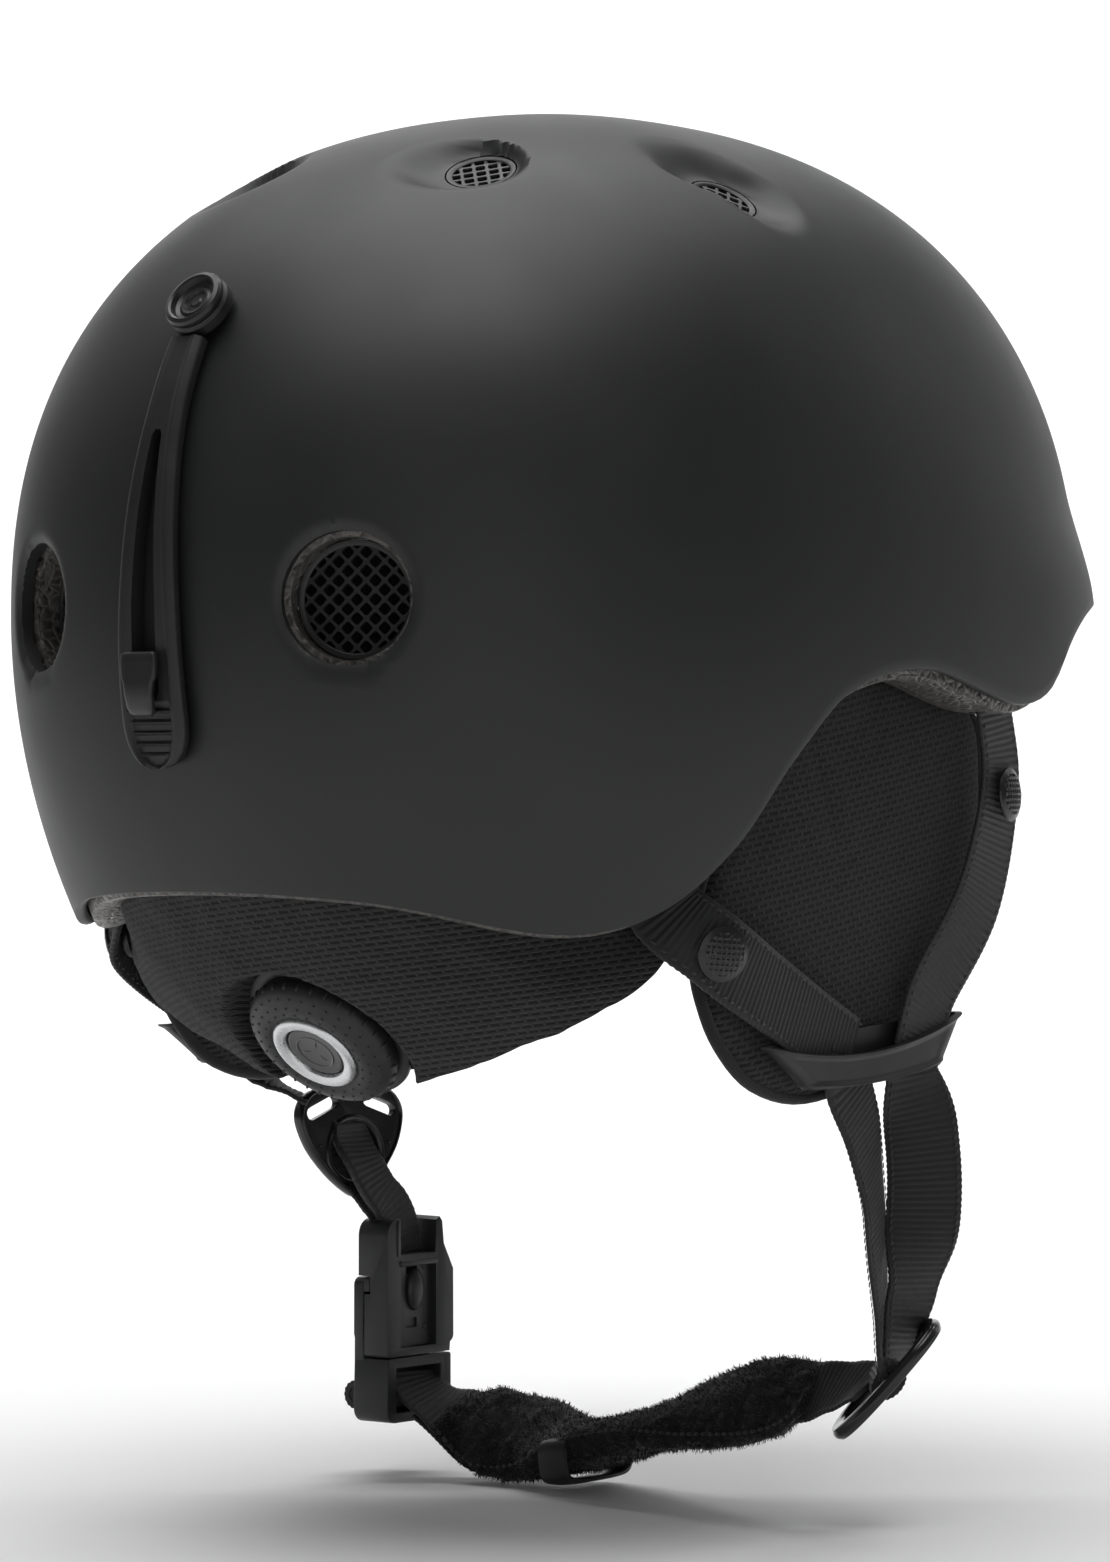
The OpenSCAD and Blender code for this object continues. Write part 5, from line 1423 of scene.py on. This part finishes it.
RING_WEBS = {
    "rear": ([(89.75, 15, -102), (89.9, 14, -110), (87.4, 12, -113.6), (82.6, 8.5, -116.6), (79.5, 6.6, -118.6)],
             [(0, 1, 0.1), (0, 1, 0.3)]),
    "front": ([(91.45, -9, -102), (91, -10, -108.4), (87.8, -12, -113), (82, -14, -116.4), (78.6, -14.6, -118.6)],
              [(0, 1, -0.1), (0, 1, -0.3)]),
}
LOWER_LEFT = [(76.6, -5, -125.6), (75.2, -5, -129.4), (71.8, -5.1, -134.0), (69, -7, -140), (67.2, -9.8, -144.4),
              (66.3, -12, -150), (66, -13.4, -158)]
LOWER_LEFT_BACK = [(77.6, -5, -126.5), (78.2, -5.4, -131), (75.4, -6.8, -137.5), (71.6, -9, -143.2),
                   (68.9, -11.5, -148.4), (68, -12.8, -157)]


def make_left_webs():
    for name, (points, sides) in RING_WEBS.items():
        web = webbing(f"left_ring_web_{name}", points, sides, 12)
        settle(web, WEBBING, body=None, nodes=["left_ring_webs"] if name == "rear" else [], angle=60)
        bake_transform(web)
    flat = [(0, 1, 0), (0, 1, 0)]
    lower = webbing("left_lower_web_ribbed", LOWER_LEFT, flat, 13.2, 2.6, rib=0.3, cup=-0.5)
    settle(lower, WEBBING, "left_strap", ["left_lower_web"], angle=60)
    turned = webbing("left_lower_web_back", LOWER_LEFT_BACK, flat, 13.2, pitch=1.3)
    settle(turned, WEBBING, "left_strap", angle=60)
    bar = wrap("left_web_fold", 1.3, 1.3, 13, Matrix.Translation((0.0769, -0.005, -0.1253)))
    settle(bar, WEBBING, "left_strap", angle=60)


# ---- buckle ---------------------------------------------------------------------------------------
BUCKLE_AT, SWING_AT = (66, -14, -164.5), (-82, -11)
BUCKLE_W, BUCKLE_T, BUCKLE_H, LOW_H = 25, 9, 34, 16
SWING_R = BUCKLE_AT[0] - SWING_AT[0]
BUCKLE_ANGLE = math.atan2(BUCKLE_AT[1] - SWING_AT[1], SWING_R)
SEAM = -BUCKLE_H / 2


def bend_on_swing(piece):
    """From the buckle's own frame (x outwards, y towards the back, z up) onto the arc that the halves slide along."""
    co = coords(piece)
    angle = BUCKLE_ANGLE + co[:, 1] / SWING_R
    r = SWING_R + co[:, 0]
    set_coords(piece, np.stack([SWING_AT[0] + r * np.cos(angle), SWING_AT[1] + r * np.sin(angle),
                                BUCKLE_AT[2] + co[:, 2]], -1))
    return piece


def side_prism(name, outline, x0, x1):
    """Outline in (y, z) pulled along x."""
    outline = np.asarray(outline, float)
    return loft(name, [np.column_stack([np.full(len(outline), x), outline]) for x in (x0, x1)])


def block(low, high):
    (x0, y0, z0), (x1, y1, z1) = low, high
    return loft("cutter", [[(x0, y0, z), (x1, y0, z), (x1, y1, z), (x0, y1, z)] for z in (z0, z1)])


def arc_points(cy, cz, r, start, stop, steps=7):
    turn = [math.radians(a) for a in np.linspace(start, stop, steps)]
    return [(cy + r * math.cos(a), cz + r * math.sin(a)) for a in turn]


def make_buckle_upper():
    h, w, t = BUCKLE_H / 2, BUCKLE_W / 2, BUCKLE_T / 2
    outline = [(-w + 0.6, SEAM + 0.02), (w - 0.6, SEAM + 0.02), (w, SEAM + 0.6)] + arc_points(w - 4, h - 4, 4, 0, 90)
    outline += [(7.2, h), (7.0, h - 9), (-6.6, h - 9), (-6.9, h - 1), (-8.2, h - 0.2), (-9.2, h - 1.4), (-9.8, h - 7)]
    outline += [(-w - 0.7, h - 13.5)] + arc_points(-w + 1.0, SEAM + 4, 1.8, 180, 250, 4)
    body = side_prism("upper", outline, -t, t)
    # the window on the inner face, the room for the lower half's plate and catch, and two pockets in the window
    cuts = [block((-t - 1, -6.9, SEAM + 2.0), (-t + 2.0, 6.9, h - 11.5)),
            block((t - 1.8, -20, SEAM - 1), (t + 1, 20, SEAM + 20)),
            block((t - 3.6, -20, SEAM + 15.5), (t + 1, 20, SEAM + 20)),
            block((-t + 1.9, -1.8, SEAM + 20.0), (-t + 3.4, 2.4, SEAM + 22.4)),
            block((-t + 1.9, -1.8, SEAM + 6.6), (-t + 2.7, 2.4, SEAM + 9.0))]
    cut(body, cuts)
    bevel(body, 0.45, 3)
    channel = side_prism("channel", [(7.3, 7.6), (7.3, 16.4), (8.0, 16.8), (8.6, 16.2), (8.6, 7.6)], -t - 0.35, t - 2.4)
    lip = rounded_bar("lip", (-t - 0.5, -7.4, h - 11.9), (-t + 1.3, 7.4, h - 10.4), 0.5)
    spots = [(np.array((-t + 2.0, y, z)), (-1, 0, 0), (0, 0, 1)) for y, z in ((-4.4, 4.6), (-4.6, -10.4), (4.6, 4.6))]
    marks = dots("marks", spots, 0.9, 0.35)
    bevel(channel, 0.3, 2)
    upper = bend_on_swing(join("buckle_upper_half", [body, channel, lip, marks]))
    settle(upper, BUCKLE_PLASTIC, "left_strap", ["buckle_upper"], angle=35)

    profile = [(3.55 * math.sin(a), 0.2 + 1.9 * math.cos(a) ** 0.8) for a in np.linspace(0.003, math.pi / 2, 14)]
    profile += [(3.55, -0.4), (0.01, -0.4)]
    place = (Matrix.Translation((-t * MM + 2.2 * MM, -0.6 * MM, -1 * MM)) @ Matrix.Rotation(math.radians(-90), 4, "Y")
             @ Matrix.Diagonal((1.5, 0.85, 1, 1)))
    button = bend_on_swing(revolve("release_button", profile, 64, place))
    settle(button, BUCKLE_PLASTIC, "left_strap", ["buckle_button"], angle=50)


def make_buckle_lower():
    w, t, gap = BUCKLE_W / 2, BUCKLE_T / 2, 0.35
    top = SEAM - gap
    outline = [(w - 0.4, top), (-w + 0.4, top), (-w, top - 0.5)]
    outline += arc_points(-w + 2.5, top - LOW_H + 2.5, 2.5, 180, 270)
    outline += arc_points(w - 3.5, top - LOW_H + 3.5, 3.5, 270, 360)
    body = side_prism("lower", outline, -t, t + 1.6)
    cut(body, [block((-t - 1, -8.6, top - LOW_H + 2.6), (2.0, 8.6, top - 2.6))])
    bevel(body, 0.6, 3)
    edge = [(w - 0.3, top - 0.8), (w - 0.3, SEAM + 4.5), (w, SEAM + 5.5)]
    plate_outline = edge + arc_points(w - 2, SEAM + 17.6, 2, 0, 90, 5) + arc_points(-w + 2, SEAM + 17.6, 2, 90, 180, 5)
    plate_outline += [(-y, z) for y, z in edge[::-1]]
    plate = side_prism("plate", plate_outline, t - 1.45, t + 1.6)
    bevel(plate, 0.4, 3)
    catch = rounded_bar("catch", (t - 3.2, -w + 0.3, SEAM + 16.0), (t + 0.4, w - 0.3, SEAM + 19.5), 0.35)
    lower = bend_on_swing(join("buckle_lower_half", [body, plate, catch]))
    settle(lower, BUCKLE_PLASTIC, "chin_strap", ["buckle_lower"], angle=35)


# ---- chin strap ------------------------------------------------------------------------------------
PAD_HALF_W = [(0, 9.8), (0.12, 12.5), (0.3, 14), (0.55, 12.5), (0.85, 12.5), (1, 9.8)]
PAD_HALF_T = [(0, 2.2), (0.12, 5), (0.3, 6.4), (0.6, 5.2), (0.85, 5.4), (1, 2.4)]
# How far the strap is turned about its own length, in degrees, against its share of the way from the buckle
CHIN_TWIST = [(0, 0), (0.06, 12), (0.16, 52), (0.26, 40), (0.38, 6), (0.52, 4), (0.7, 34), (0.88, 50), (1, 24)]


def chin_side(share):
    """Which way the strap's width points."""
    a = np.radians(curve_at(CHIN_TWIST, share))
    return np.stack([0 * a, np.cos(a), -np.sin(a)], -1)


def chin_rows(first=0.09, last=0.955, count=110):
    """Frames along the pad: position, across and up, and the share of the pad's length."""
    path, at = resample(smooth_path(CHIN, 12), 0.5)
    stops = np.linspace(first, last, count)
    pick = np.interp(stops, at / at[-1], np.arange(len(path)))
    path = np.column_stack([np.interp(pick, np.arange(len(path)), path[:, k]) for k in range(3)])
    t = tangents(path)
    side = chin_side(stops)
    across = unit(side - (side * t).sum(1, keepdims=True) * t)
    return path, across, np.cross(t, across), np.linspace(0, 1, count)


def make_chin_pad():
    path, across, up, share = chin_rows()
    w, t = curve_at(PAD_HALF_W, share) * 0.95, curve_at(PAD_HALF_T, share) * 0.84
    turn = np.linspace(0, 2 * math.pi, 40, endpoint=False)
    c, s = superellipse(turn, 0.8)
    rings = path[:, None] + (w[:, None] * c)[..., None] * across[:, None] + (t[:, None] * s)[..., None] * up[:, None]
    core = loft("chin_pad_fleece", rings)
    puff(core, 1.2)
    subdivide(core)
    wrinkles(core, 0.9, 11, 5)
    wrinkles(core, 0.35, 3, 8)
    tufts = fleece_tufts(core)
    fleece = join("chin_pad_fleece", [core, tufts])
    settle(fleece, FLEECE, "chin_strap", ["chin_pad"], angle=80)
    # the seam that closes the sleeve, along its lower edge
    seam = path - up * (t[:, None] * 0.55) + across * (w[:, None] * 0.93)
    along = np.gradient(seam, axis=0)
    places = [(p, -u + 0.6 * a, q) for p, u, a, q in zip(seam[::2], up[::2], across[::2], along[::2])]
    thread = dots("chin_pad_seam", places, 0.42, 0.5, stretch=2.0)
    settle(thread, THREAD, "chin_strap", angle=80)


def fleece_tufts(core, count=15000, length=1.05):
    """Short curved fibres on the fleece, with fixed random numbers."""
    rng = np.random.default_rng(7)
    mesh = core.data
    mesh.calc_loop_triangles()
    co = coords(core)
    tri = np.array([t.vertices[:] for t in mesh.loop_triangles])
    a, b, c = co[tri[:, 0]], co[tri[:, 1]], co[tri[:, 2]]
    cross = np.cross(b - a, c - a)
    area = np.linalg.norm(cross, axis=1)
    pick = rng.choice(len(tri), count, p=area / area.sum())
    u, v = rng.random(count), rng.random(count)
    fold = u + v > 1
    u[fold], v[fold] = 1 - u[fold], 1 - v[fold]
    root = a[pick] + (b - a)[pick] * u[:, None] + (c - a)[pick] * v[:, None]
    normal = unit(cross[pick])
    lay = rng.normal(size=(count, 3)) * 0.45 + np.array([0.5, 0.1, -0.35])
    reach = length * (0.5 + rng.random(count))[:, None]
    tip = root + unit(normal * 0.9 + lay) * reach
    middle = root + unit(normal * 1.4 + lay * 0.4) * reach * 0.5
    wide = unit(np.cross(normal, lay)) * 0.11
    points = np.stack([root - wide, root + wide, middle + wide * 0.8, middle - wide * 0.8, tip], 1).reshape(-1, 3)
    k = np.arange(count)[:, None] * 5
    faces = (k + [0, 1, 2, 3]).tolist() + (k + [3, 2, 4]).tolist()
    mesh = bpy.data.meshes.new("tufts")
    mesh.from_pydata((points * MM).tolist(), [], faces)
    return new_object("tufts", mesh)


def make_chin_strap():
    chin = webbing("chin_web_ribbed", [(64.6, -14, -186.4)] + CHIN + [(-72, -12.2, -179.2), (-78, -11.4, -178)],
                   chin_side(np.linspace(0, 1, 17)), 17)
    settle(chin, WEBBING, "chin_strap", ["chin_web"], angle=60)
    make_chin_pad()
    # webbing turned back below the pad, next to the buckle, and its sewn loop
    under = [(58.5, -14.6, -194.2), (53, -15.8, -198.2), (46.5, -17.2, -203.2), (42.5, -18.4, -205.2),
             (40.6, -18.8, -203.8), (43, -18, -200.6)]
    tail = webbing("chin_web_tail", under, [(0, 0.96, -0.28), (0, 0.85, -0.53)], 14, 1.5)
    settle(tail, WEBBING, "chin_strap", angle=60)
    place = Matrix.Translation((0.0762, -0.015, -0.192))
    loop, roll = wrap("end_loop_webbing", 2.7, 2.7, 16, place), wrap("inner_roll", 1.1, 1.1, 15.6, place)
    settle(join("end_loop_webbing", [loop, roll]), WEBBING, "chin_strap", ["end_loop"], angle=60)
    # rubber band that holds the spare webbing under the pad
    place = Matrix.Translation((0.013, -0.0195, -0.2036)) @ Matrix.Rotation(math.radians(8), 4, "Y")
    turn = np.linspace(0, 2 * math.pi, 64, endpoint=False)
    c, s = superellipse(turn, 0.45)
    section = [(-4.4, 0.0), (-4.0, 0.75), (-1.5, 1.05), (1.5, 1.05), (4.0, 0.75), (4.4, 0.0), (4.0, -0.3), (-4.0, -0.3)]
    rings = [[(x, (12.6 + g) * cc, (5.0 + g) * ss) for x, g in section] for cc, ss in zip(c, s)]
    band = loft("web_keeper_band", np.array(rings), closed=True)
    band.data.transform(place)
    settle(band, STRAP_RUBBER, "chin_strap", ["web_keeper"], angle=40)


def dress_cad_nodes():
    """Materials for the CAD parts that stay as they are."""
    for material, nodes in ((CRADLE_PLASTIC, ("cradle_cover", "cradle_base", "dial_core", "rack_left", "rack_right",
                                             "band_sleeve_left", "band_sleeve_right")),
                            (SPRING_STEEL, ("ratchet_spring",)), (ANCHOR_METAL, ("strap_anchors",)),
                            (MAGNET_METAL, ("upper_magnet", "lower_magnet"))):
        for name in nodes:
            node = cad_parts[name]
            node.data.materials.clear()
            node.data.materials.append(material)


make_shell()
make_liner()
make_screens()
make_retainer()
make_dial()
make_comfort_pads()
make_nape_pad()
make_nape_cushion()
for wearer_side in (LEFT, RIGHT):
    make_ear_pad(wearer_side)
    make_upper_webs(wearer_side)
    make_keeper(wearer_side)
make_right_webs()
make_adjuster()
make_divider_ring()
make_left_webs()
make_buckle_upper()
make_buckle_lower()
make_chin_strap()
dress_cad_nodes()
